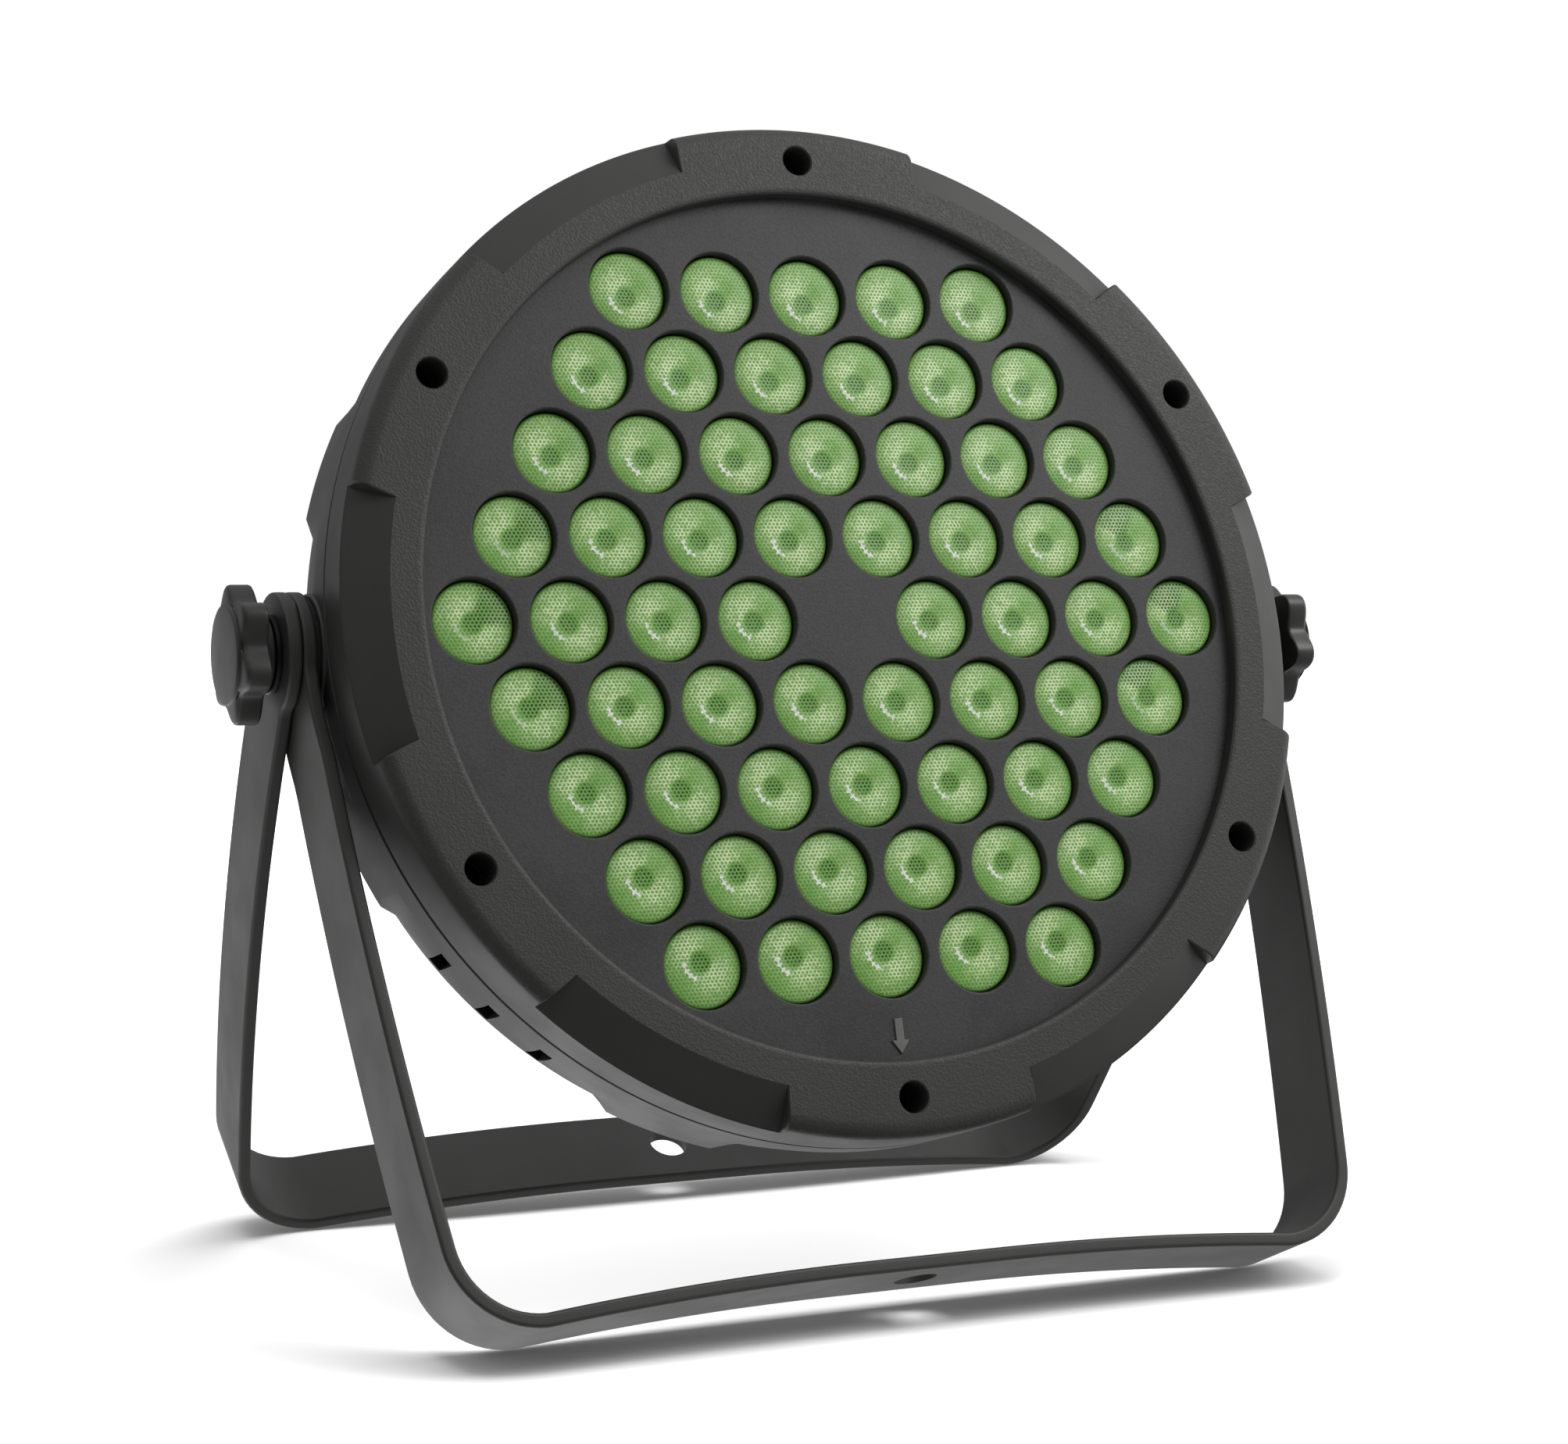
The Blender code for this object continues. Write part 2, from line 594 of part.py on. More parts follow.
def socket(name, x, female):
    shape = bmesh.new()
    flange = rectangle(26, 31, (x, SIGNAL_Y), 2.5)
    screws = [circle(1.7, 8, (x - 9.8, SIGNAL_Y + 12.2)), circle(1.7, 8, (x + 9.8, SIGNAL_Y - 12.2))]
    add_plate(shape, flange, screws, BACK_Z - 2.4, BACK_Z - 0.3)
    made = finish(shape, name, "steel", lens_frame)
    shape = bmesh.new()
    add_prism(shape, circle(11.5, 16, (x, SIGNAL_Y)), -62.0, BACK_Z - 1.0)
    boolean(made, finish(shape, name + "_barrel", None, lens_frame, helper=True), "UNION")
    shape = bmesh.new()
    if female:
        for px, py in ((-3.6, 2.2), (3.6, 2.2), (0.0, -3.8)):
            add_prism(shape, circle(1.3, 8, (x + px, SIGNAL_Y + py)), -76.0, BACK_Z - 4)
        add_box(shape, (x - 3.3, SIGNAL_Y + 7.5, -79.0), (x + 3.3, SIGNAL_Y + 10.1, BACK_Z - 4))
        boolean(made, finish(shape, name + "_contacts", None, lens_frame, helper=True))
    else:
        add_prism(shape, circle(9.6, 16, (x, SIGNAL_Y)), -72.0, BACK_Z - 4)
        boolean(made, finish(shape, name + "_well", None, lens_frame, helper=True))
        shape = bmesh.new()
        for px, py in ((-3.6, 2.2), (3.6, 2.2), (0.0, -3.8)):
            add_prism(shape, circle(1.2, 8, (x + px, SIGNAL_Y + py)), -83.0, -71.0)
        boolean(made, finish(shape, name + "_pins", None, lens_frame, helper=True), "UNION")


socket("signal_in_socket", -SIGNAL_X, False)
socket("signal_out_socket", SIGNAL_X, True)
bm = bmesh.new()
x = SIGNAL_X
tab = [(SIGNAL_Y + 7.8, -80.8), (SIGNAL_Y + 9.8, -80.8), (SIGNAL_Y + 9.8, -89.4), (SIGNAL_Y + 9.0, -90.6)]
tab += [(SIGNAL_Y + 7.8, -90.6)]
add_loft(bm, [[(x - 2.9, y, z) for y, z in tab], [(x + 2.9, y, z) for y, z in tab]])
finish(bm, "signal_out_latch", "steel", lens_frame)

bm = bmesh.new()
add_plate(bm, rectangle(50, 32, (0, INLET_Y), 4), [circle(1.7, 8, spot) for spot in SMALL_SCREWS[:2]],
          BACK_Z - 2.8, BACK_Z - 0.3)
power_inlet = finish(bm, "power_inlet", "black_plastic", lens_frame)
bm = bmesh.new()
add_prism(bm, rectangle(29, 29, (0, INLET_Y)), -64.0, BACK_Z - 1.5)
boolean(power_inlet, finish(bm, "inlet_body", None, lens_frame, helper=True), "UNION")
bm = bmesh.new()
well = [(-12, -50), (12, -50), (12, -37.5), (8, -33.5), (-8, -33.5), (-12, -37.5)]
add_prism(bm, well, -71.5, BACK_Z - 5)
add_box(bm, (-9.3, -59.3, -70.5), (9.3, -52.7, BACK_Z - 5))
boolean(power_inlet, finish(bm, "inlet_wells", None, lens_frame, helper=True))
bm = bmesh.new()
for px, py in ((-7.0, -44.0), (7.0, -44.0), (0.0, -39.5)):
    add_box(bm, (px - 1.0, py - 2.2, -84.0), (px + 1.0, py + 2.2, -70.0))
boolean(power_inlet, finish(bm, "inlet_pins", None, lens_frame, helper=True), "UNION")

bm = bmesh.new()
add_box(bm, (-9.0, -59.0, BACK_Z - 4.2), (9.0, -53.0, -70.8))
finish(bm, "fuse_drawer", "black_plastic", lens_frame)

for number, spot in enumerate(SMALL_SCREWS, 1):
    place = "inlet" if number < 3 else ("signal_in" if number < 5 else "signal_out")
    seat = BACK_Z - (3.0 if number < 3 else 2.6)
    screw(f"{place}_screw_{(number + 1) % 2 + 1}", spot, lens_frame, 2.6, 1.5, 1.15, 7.4, seat, -1)

bm = bmesh.new()
add_lathe(bm, [(0, -88.4), (6.5, -88.4), (6.5, -86.3), (2.0, -86.3), (2.0, -79.0), (0, -79.0)], 14, (50.0, 34.0))
safety_eye = finish(bm, "safety_eye", "steel", lens_frame)
bm = bmesh.new()
path = [(-5.2, -87.4)] + [(5.2 * math.cos(math.radians(180 - 30 * i)), -93.2 - 5.2 * math.sin(math.radians(30 * i)))
                          for i in range(7)] + [(5.2, -87.4)]
rings = []
for i, (u, z) in enumerate(path):
    before, after = path[max(i - 1, 0)], path[min(i + 1, len(path) - 1)]
    along = Vector((after[0] - before[0], after[1] - before[1])).normalized()
    ring = []
    for k in range(8):
        t = 2 * math.pi * k / 8
        side, depth = 1.4 * math.cos(t), 1.4 * math.sin(t)
        ring.append((50.0 + u - along.y * side, 34.0 + depth, z + along.x * side))
    rings.append(ring)
add_loft(bm, rings)
boolean(safety_eye, finish(bm, "safety_bow", None, lens_frame, helper=True), "UNION")


# ---- brackets: one flat strap each, eyes on the tilt axis, bar on the floor

def strap_path(eye_x, splay, bend, reach, corner, rise):
    """Outer-face stations as (x, s, normal x, normal s) from one eye down to the middle of the bar."""
    stations = []
    leg_end = reach - corner
    downs = [-14.45, -12.6, -8.5, -3.0, 3.0, 8.0, 16.0, 26.0]
    downs += [26.0 + (leg_end - 26.0) * i / 5 for i in range(1, 6)]
    for s in downs:
        t = min(max((s - 12.0) / 20.0, 0.0), 1.0)
        ease = t * t * (3 - 2 * t)
        slope = (splay + 2 * bend * s) * ease
        flat = math.hypot(1.0, slope)
        stations.append((eye_x + (splay * s + bend * s * s) * ease, s, 1 / flat, -slope / flat))
    x, s, nx, ns = stations[-1]
    radius = (reach - s) / (1 - ns)
    cx, cs = x - nx * radius, s - ns * radius
    first = math.atan2(ns, nx)
    for i in range(1, 6):
        t = first + (math.pi / 2 - first) * i / 5
        stations.append((cx + radius * math.cos(t), cs + radius * math.sin(t), math.cos(t), math.sin(t)))
    run = cx - PAD_HALF
    for i in range(1, 6):
        x = PAD_HALF + run * (1 - i / 5)
        lean = -2 * rise * (x - PAD_HALF) / run / run
        flat = math.hypot(1.0, lean)
        stations.append((x, reach - rise * (1 - ((x - PAD_HALF) / run) ** 2), lean / flat, 1 / flat))
    return stations


def strap_width(s, top, low, reach):
    if s < 8.0:
        return math.sqrt(max(EYE_R ** 2 - s * s, 0.0))
    t = min((s - 8.0) / 16.0, 1.0)
    neck = math.sqrt(EYE_R ** 2 - 64.0)
    straight = (top + (low - top) * s / reach) / 2
    return neck + (straight - neck) * t * t * (3 - 2 * t)


def bracket(name, frame, path, top, low, reach):
    rings = []
    both = path + [(-x, s, -nx, ns) for x, s, nx, ns in path[::-1]]
    chamfer = 0.7
    for x, s, nx, ns in both:
        w = strap_width(s, top, low, reach)
        c = min(chamfer, w * 0.3)
        ring = []
        for depth, y in ((0, -w + c), (0, w - c), (c, w), (STRAP - c, w), (STRAP, w - c),
                         (STRAP, -w + c), (STRAP - c, -w), (c, -w)):
            ring.append((x - nx * depth, y, -(s - ns * depth)))
        rings.append(ring)
    shape = bmesh.new()
    add_loft(shape, rings)
    return finish(shape, name, "bracket_plastic", frame)


front_frame = empty("front_bracket_frame", (0, PIVOT_Y, PIVOT_HEIGHT), -FRONT_LEAN)
rear_frame = empty("rear_bracket_frame", (0, PIVOT_Y, PIVOT_HEIGHT), REAR_LEAN)
front_bracket = bracket("front_bracket", front_frame, strap_path(*FRONT_STRAP), 24.0, 26.4, FRONT_REACH)
rear_bracket = bracket("rear_bracket", rear_frame, strap_path(*REAR_STRAP), 24.9, 26.0, REAR_REACH)
for target, frame, reach in ((front_bracket, front_frame, FRONT_REACH), (rear_bracket, rear_frame, REAR_REACH)):
    bm = bmesh.new()
    for side in (-1, 1):
        shape = bmesh.new()
        add_prism(shape, circle(4.13, 20), 120, 145)
        turned(shape, ALONG_X if side > 0 else ALONG_X.inverted())
        part = bpy.data.meshes.new("eye_hole")
        shape.to_mesh(part)
        shape.free()
        bm.from_mesh(part)
    add_prism(bm, circle(5.2, 18), -reach - 6, -reach + 14)
    boolean(target, finish(bm, target.name + "_holes", None, frame, helper=True))


# ---- tilt joint hardware, mirrored on both sides

def along_x(shape, side):
    turned(shape, ALONG_X if side > 0 else ALONG_X.inverted())


def star(radius, turn, count=30):
    points = []
    for i in range(count):
        t = 2 * math.pi * i / count
        wave = math.cos(KNOB_LOBES * (t - turn))
        points.append(((radius - 1.9 + 1.9 * wave) * math.cos(t), (radius - 1.9 + 1.9 * wave) * math.sin(t)))
    return points


def knob(name, side, turn, frame):
    shape = bmesh.new()
    count = 30
    rings = []
    hub = circle(9.0, count)
    core = circle(4.08, count)
    levels = [
        (core, KNOB_HUB_X + 3.6), (core, KNOB_HUB_X), (hub, KNOB_HUB_X), (hub, KNOB_STAR_X),
        (star(15.9, turn), KNOB_STAR_X), (star(16.6, turn), KNOB_STAR_X + 0.8),
        (star(16.6, turn), KNOB_FACE_X - 0.9), (star(15.7, turn), KNOB_FACE_X),
        (circle(10.5, count), KNOB_FACE_X + 0.7), (circle(6.0, count), KNOB_TOP_X - 0.4),
    ]
    for loop, x in levels:
        rings.append([(px, py, x) for px, py in loop])
    add_loft(shape, rings)
    along_x(shape, side)
    return finish(shape, name, "knob_plastic", frame)


for side, word, turn in ((-1, "left", 8.4), (1, "right", 12.0)):
    knob(f"{word}_knob", side, math.radians(turn + (HEAD_TILT if side < 0 else -HEAD_TILT)), head)
    bm = bmesh.new()
    add_prism(bm, circle(STUD_R, 16), 116.5, KNOB_HUB_X + 3.3)
    along_x(bm, side)
    finish(bm, f"{word}_knob_stud", "steel", head)
    bm = bmesh.new()
    add_plate(bm, circle(5.9, 16), [circle(4.13, 20)], 114.6, 127.4)
    along_x(bm, side)
    finish(bm, f"{word}_threaded_insert", "brass", head)
    bm = bmesh.new()
    add_plate(bm, circle(13.4, 24), [circle(4.3, 12)], BOSS_FACE_X + 0.2, BOSS_FACE_X + 1.0)
    along_x(bm, side)
    finish(bm, f"{word}_friction_pad", "rubber", head)
    bm = bmesh.new()
    add_plate(bm, circle(9.3, 20), [circle(4.3, 12)], REAR_EYE_X + 0.2, KNOB_HUB_X - 0.2)
    along_x(bm, side)
    finish(bm, f"{word}_washer", "steel", head)
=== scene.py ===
import json
import math

import bmesh
import bpy
from mathutils import Matrix, Vector
from mathutils.geometry import tessellate_polygon


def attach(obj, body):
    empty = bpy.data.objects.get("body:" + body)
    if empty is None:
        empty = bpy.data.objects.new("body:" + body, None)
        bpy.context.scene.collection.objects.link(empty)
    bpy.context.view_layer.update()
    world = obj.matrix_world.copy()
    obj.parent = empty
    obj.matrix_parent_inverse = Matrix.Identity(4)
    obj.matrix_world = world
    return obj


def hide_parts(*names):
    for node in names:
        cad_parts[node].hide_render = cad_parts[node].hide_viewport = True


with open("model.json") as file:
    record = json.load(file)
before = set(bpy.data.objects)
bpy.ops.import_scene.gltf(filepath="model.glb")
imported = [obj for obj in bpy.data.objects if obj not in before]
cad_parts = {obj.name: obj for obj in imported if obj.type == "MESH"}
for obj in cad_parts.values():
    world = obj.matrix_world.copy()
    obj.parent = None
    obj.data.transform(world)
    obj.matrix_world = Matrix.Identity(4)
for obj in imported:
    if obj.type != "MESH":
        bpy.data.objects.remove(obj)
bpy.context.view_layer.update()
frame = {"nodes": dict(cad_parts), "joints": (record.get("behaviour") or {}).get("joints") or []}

MM = 0.001
joints = {joint["name"]: joint for joint in frame["joints"]}
PIVOT = Vector(joints["head_tilt"]["pos_m"]) / MM
FACING = Vector(joints["button_menu_press"]["axis"])  # out of the lit face
FACE_TURN = math.atan2(-FACING.y, FACING.z)
FRONT_LEAN = math.radians(-25.07)
REAR_LEAN = math.radians(29.46)
LENS_PLANE = 27.7

AXIS_FRAME = Matrix.Translation(PIVOT) @ Matrix.Rotation(FACE_TURN, 4, "X")
HEAD = AXIS_FRAME @ Matrix.Translation((0, 0, LENS_PLANE))
FRONT = Matrix.Translation(PIVOT) @ Matrix.Rotation(FRONT_LEAN, 4, "X")
REAR = Matrix.Translation(PIVOT) @ Matrix.Rotation(REAR_LEAN, 4, "X")
ALONG_X = Matrix.Rotation(math.radians(90), 4, "Y")
TO_TILT_AXIS = Matrix.Translation((0, 0, -LENS_PLANE))

# Lens field
PITCH = 24.0
LENS_R = 10.05
LENS_SIDES = 44
PANEL_HOLE_R = 10.4
PANEL_TOP = 1.9
WEB_TOP = -1.6

# Pattern on a lens, with its painted shade, painted highlight and painted glint
CELL_PITCH = 1.02
RIM_BAND = (9.25, 9.5)  # plain green from here out
EDGE_BAND = (9.85, 10.02)  # dark edge from here out
# Painted shade: the darker eye, where the shaded LED recess shows through
EYE_RADIUS = 2.9
# Painted highlight: middle of one of its two opposite bright sectors
HIGHLIGHT_TURN = math.radians(130)
# Painted glint: a ring of bright beads round the eye
BEAD_RADIUS = 4.2
BEAD_TURN = math.radians(145)  # middle of the glint, clockwise from +x
BEAD_HALF = math.radians(38)
BEAD_COUNT = 19.0  # beads in a whole turn
# Painted shade: the dark eye fans out towards the rim in lenses at the array's ends
FAN_TURN = math.radians(35)  # of the dark fan, in the lenses at the left end
FAN_SWING = math.radians(70)  # further round, at the right end

# Bezel and housing
FACE_Z = 5.6
BEZEL_R = 127.35
SCREW_CIRCLE_R = 117.6
HALF_SECTOR = 30  # degrees, half of one facet and one lobe
BORDER_HALF = 14.0  # half a facet, in degrees at its inner edge
BORDER_R = 117.2  # where the lobes and facets start
BORDER_RUN = 10.2
LOBE_ROUND = 4.0  # soft outer edge of a lobe
EASE = 0.32  # round along the walls between lobes and facets
BAND_END_Z = -20.9
SHOULDER_R = 64.0
BACK_Z = -86.0
WALL = 2.8
PADS = [(16.0, 28.0), (61.0, 74.0)]  # degrees, in each quarter
PAD_OUT = 1.8  # degrees of a pad's slanted side wall beyond its edge
PAD_IN = 0.2  # and before it
SLOTS = (36.2, 43.6, 50.9)  # degrees, in each quarter
SLOT_BOX = ((117, -1.9, -36.4), (131, 1.9, -22.3))
PEBBLES_PER_M = 1900.0

# Tilt joint
BOSS_FACE_X = 128.0
STRAP = 3.3
FRONT_EYE_X = 132.5
REAR_EYE_X = 136.0
EYE_R = 14.6
EYE_HOLE_R = 4.13
PAD_HALF = 18.0  # flat middle of each bar, around its bolt hole
BOLT_HOLE_R = 5.2
# Straps: eye x, splay, bend, reach, drop of the corner, rise of the bar's middle
FRONT_STRAP = (FRONT_EYE_X, -0.0411, -0.000346, 164.7, 19.1, 3.9)
REAR_STRAP = (REAR_EYE_X, 0.0099, -0.0004625, 170.473, 20.5, 4.85)
FRONT_WIDTHS = (24.0, 26.4)  # at the eye and at the bar
REAR_WIDTHS = (24.9, 26.0)
KNOB_HUB_X = 137.6
KNOB_STAR_X = 140.2
KNOB_FACE_X = 146.6
# Rows of a knob: radius, depth of the valleys between lobes, place along the axis from each x
KNOB_ROWS = [
    (KNOB_HUB_X, [(4.08, 0, 3.6), (4.08, 0, 0), (8.7, 0, 0), (9.0, 0, 0.3)]),
    (KNOB_STAR_X, [(9.0, 0, -0.2), (9.4, 0, 0), (15.9, 1.8, 0), (16.35, 1.9, 0.2), (16.6, 1.9, 0.7)]),
    (KNOB_FACE_X, [(16.6, 1.9, -1.5), (16.42, 1.9, -0.9), (15.9, 1.85, -0.5), (15.0, 1.6, -0.25),
                   (13.6, 0.8, -0.05), (12.2, 0, 0.1), (11.9, 0, 0.2), (11.7, 0, 0.75),
                   (11.3, 0, 0.95), (8.5, 0, 1.15), (5.5, 0, 1.28), (2.5, 0, 1.36)]),
]

# Back
PANEL_Y = 46.0
WINDOW_X = -12.0
FAN_CENTRE = (0.0, 4.0)
GUARD_RINGS = ((7.0, 11.6, 9.0), (13.4, 18.0, 5.0), (19.8, 24.0, 3.6))  # radii, half bar in degrees
SIGNAL_X = 42.0
SIGNAL_Y = -8.0
SOCKET_SCREWS = ((-9.8, 12.2), (9.8, -12.2))  # from the middle of a socket
SOCKET_PINS = ((-3.6, 2.2), (3.6, 2.2), (0.0, -3.8))
INLET_Y = -46.0
INLET_SCREWS = ((-20.5, 0.0), (20.5, 0.0))
SAFETY_EYE = (50.0, 34.0)
BUTTON_HOLE_R = 3.1
BUTTONS = {"button_menu": (13.0, 51.5), "button_up": (24.0, 51.5),
           "button_enter": (13.0, 40.5), "button_down": (24.0, 40.5)}

# Colours, linear
LENS_GREEN = (0.145, 0.41, 0.045)
# Pale green of the painted highlight on the cell walls
LENS_HIGHLIGHT = (0.86, 1.0, 0.6)
# Dark cells of the painted shade in the eye
LENS_SHADE_DOT = (0.012, 0.045, 0.008)
# Colour of the painted glint
LENS_GLINT = (0.95, 0.98, 0.9)
LENS_EDGE = (0.01, 0.1, 0.045)

# Studio. A lobe of the sky is its direction, its power and its strength.
SKY_BASE = 0.1
SKY = [((-0.15, 0, 1), 2.0, 0.72), ((0.1, 1.0, 0.25), 2.0, 0.18), ((1.0, -0.1, 0.15), 3.0, 1.3),
       ((-0.22, 0.65, -0.72), 5.0, 1.75), ((-0.3, -0.3, -0.9), 4.0, 0.55)]
KEY_PLACE = (0.46, -0.4, 0.72)
KEY_SIZE = 0.4
KEY_POWER = 2.45
KEY_AIM = (0, 0, 0.13)
FLOOR_GLOW = 0.02
FLOOR_FADE = (0.35, 0.8)  # metres from the middle, over which the floor turns plain white
WASH_PLACE = (0, 0, 1.3)
WASH_SIZE = 1.1
WASH_POWER = 17.5
CAMERA_PLACE = (-0.338079, -0.713402, 0.189408)
CAMERA_TURN = (86.09539, -0.56978, -25.29814)
CAMERA_LENS = 71.338


# ---- node materials

class Graph:
    """Short calls for building one node tree."""

    def __init__(self, tree):
        self.tree = tree
        tree.nodes.clear()

    def node(self, kind, inputs=None, **settings):
        """A new node. inputs gives a value or a link for each input, by name or number."""
        made = self.tree.nodes.new(kind)
        for name, value in settings.items():
            setattr(made, name, value)
        for key, value in (inputs or {}).items():
            self.put(made.inputs[key], value)
        return made

    def put(self, socket, value):
        if isinstance(value, bpy.types.NodeSocket):
            self.tree.links.new(value, socket)
        elif socket.type == "RGBA":
            socket.default_value = (*value, 1.0)
        else:
            socket.default_value = value

    def math(self, operation, *values, clamp=False):
        inputs = dict(enumerate(values))
        return self.node("ShaderNodeMath", inputs, operation=operation, use_clamp=clamp).outputs[0]

    def times(self, product, *factors):
        for factor in factors:
            product = self.math("MULTIPLY", product, factor)
        return product

    def smooth(self, value, low, high, out_low=0.0, out_high=1.0):
        """Smoothstep from low to high. It may run downwards."""
        inputs = {"Value": value, "From Min": low, "From Max": high, "To Min": out_low, "To Max": out_high}
        return self.node("ShaderNodeMapRange", inputs, interpolation_type="SMOOTHSTEP").outputs[0]

    def mix(self, share, first, second):
        return self.node("ShaderNodeMix", {0: share, 6: first, 7: second}, data_type="RGBA").outputs[2]

    def noise(self, place, scale, detail=3.0, rough=0.5):
        inputs = {"Vector": place, "Scale": scale, "Detail": detail, "Roughness": rough}
        return self.node("ShaderNodeTexNoise", inputs).outputs[0]

    def split(self, vector):
        return self.node("ShaderNodeSeparateXYZ", {0: vector}).outputs

    def join(self, x, y, z=0.0):
        return self.node("ShaderNodeCombineXYZ", {0: x, 1: y, 2: z}).outputs[0]

    def length(self, vector):
        return self.node("ShaderNodeVectorMath", {0: vector}, operation="LENGTH").outputs["Value"]

    def place(self, stretch=None):
        """Object coordinates, in metres, so a pattern keeps its size and rides with its piece."""
        spot = self.node("ShaderNodeTexCoord").outputs["Object"]
        if stretch is None:
            return spot
        return self.node("ShaderNodeMapping", {"Vector": spot, "Scale": stretch}).outputs[0]

    def bump(self, height, depth, strength=1.0):
        inputs = {"Height": height, "Distance": depth, "Strength": strength}
        return self.node("ShaderNodeBump", inputs).outputs[0]


def new_material(name, metal=0.0, coat=0.0, specular=0.5):
    """(material, graph, shader) with the shader wired to the output."""
    made = bpy.data.materials.new(name)
    made.use_nodes = True
    graph = Graph(made.node_tree)
    shader = graph.node("ShaderNodeBsdfPrincipled", {
        "Metallic": metal, "Coat Weight": coat, "Coat Roughness": 0.06, "Specular IOR Level": specular})
    graph.node("ShaderNodeOutputMaterial", {"Surface": shader.outputs[0]})
    return made, graph, shader


def dress(graph, shader, colour, rough, normal):
    for name, value in (("Base Color", colour), ("Roughness", rough), ("Normal", normal)):
        graph.put(shader.inputs[name], value)


def shades(colour, down, up):
    """A darker and a lighter version of a colour."""
    return tuple(c * down for c in colour), tuple(c * up for c in colour)


def grained(name, colour, rough, grain_mm, depth_mm, mottle=0.12, metal=0.0, coat=0.0, stretch=None):
    """A moulded or rolled surface: fine grain, slow mottling, and roughness that follows the mottling."""
    made, graph, shader = new_material(name, metal, coat)
    spot = graph.place(stretch)
    grain = graph.noise(spot, 1000.0 / grain_mm, 2.0, 0.6)
    cloud = graph.noise(graph.place(), 45.0, 3.0, 0.55)
    shade = graph.times(graph.math("ADD", grain, cloud), 0.5)
    colour = graph.mix(graph.smooth(shade, 0.35, 0.65), *shades(colour, 1.0 - mottle, 1.0 + mottle))
    rough = graph.smooth(cloud, 0.3, 0.7, rough - 0.05, rough + 0.05)
    dress(graph, shader, colour, rough, graph.bump(grain, depth_mm * MM))
    return made


def pebbled(name, colour, rough):
    """Coarse moulded texture of round pits and islands over a fine grain."""
    made, graph, shader = new_material(name)
    spot = graph.place()
    inputs = {"Vector": spot, "Scale": PEBBLES_PER_M}
    cells = graph.node("ShaderNodeTexVoronoi", inputs, feature="SMOOTH_F1")
    blots = graph.noise(spot, 1150.0, 3.0, 0.6)
    height = graph.math("ADD", graph.smooth(cells.outputs["Distance"], 0.1, 0.75), blots)
    cloud = graph.noise(spot, 50.0, 3.0, 0.5)
    shade = graph.math("MULTIPLY_ADD", height, 0.35, graph.times(cloud, 0.5))
    colour = graph.mix(graph.smooth(shade, 0.35, 0.85), *shades(colour, 0.86, 1.12))
    rough = graph.smooth(blots, 0.3, 0.7, rough - 0.06, rough + 0.06)
    dress(graph, shader, colour, rough, graph.bump(height, 0.055 * MM, 0.8))
    return made


def board(name, colour, trace):
    """Printed board: solder mask over a grid of tracks."""
    made, graph, shader = new_material(name, coat=0.2)
    spot = graph.place()
    lines = graph.node("ShaderNodeTexBrick", {
        "Vector": spot, "Scale": 260.0, "Mortar Size": 0.03,
        "Color1": (0.0, 0.0, 0.0), "Color2": (0.0, 0.0, 0.0), "Mortar": (1.0, 1.0, 1.0)})
    cloud = graph.noise(spot, 900.0, 2.0, 0.5)
    share = graph.times(lines.outputs["Fac"], cloud)
    rough = graph.smooth(cloud, 0.3, 0.7, 0.35, 0.5)
    dress(graph, shader, graph.mix(share, colour, trace), rough, graph.bump(share, 0.04 * MM))
    return made


def cell_distance(graph, x, y):
    """Distance to the middle of the nearest cell, in cell pitches. The rows are staggered."""
    nearest = []
    for offset in (0.0, 0.5):
        u = graph.math("MULTIPLY_ADD", x, 1 / CELL_PITCH, offset)
        v = graph.math("MULTIPLY_ADD", y, 1 / CELL_PITCH / math.sqrt(3), offset)
        across = graph.math("SUBTRACT", graph.math("FRACT", u), 0.5)
        up = graph.math("MULTIPLY_ADD", graph.math("FRACT", v), math.sqrt(3), -math.sqrt(3) / 2)
        nearest.append(graph.length(graph.join(across, up)))
    return graph.math("MINIMUM", *nearest)


def painted_glint(graph, turn, away, seed):
    """A painted glint: uneven bright beads along part of a ring round the eye."""
    chain = graph.math("COSINE", graph.math("MULTIPLY_ADD", turn, BEAD_COUNT, seed))
    uneven = graph.noise(graph.join(graph.times(turn, 3.0), 0.0, seed), 1.0, 0.0)
    bead_width = graph.times(graph.smooth(chain, -0.3, 1.0, 0.24, 0.8),
                             graph.smooth(uneven, 0.3, 0.6, 0.5, 1.1))
    off_arc = graph.math("ABSOLUTE", graph.math("SUBTRACT", away, BEAD_RADIUS))
    on_arc = graph.smooth(graph.math("SUBTRACT", off_arc, bead_width), 0.08, -0.08)
    window = graph.math("ABSOLUTE", graph.math("ADD", turn, BEAD_TURN))
    window = graph.math("SUBTRACT", window, BEAD_HALF)
    return graph.times(on_arc, graph.smooth(window, 0.1, -0.1))


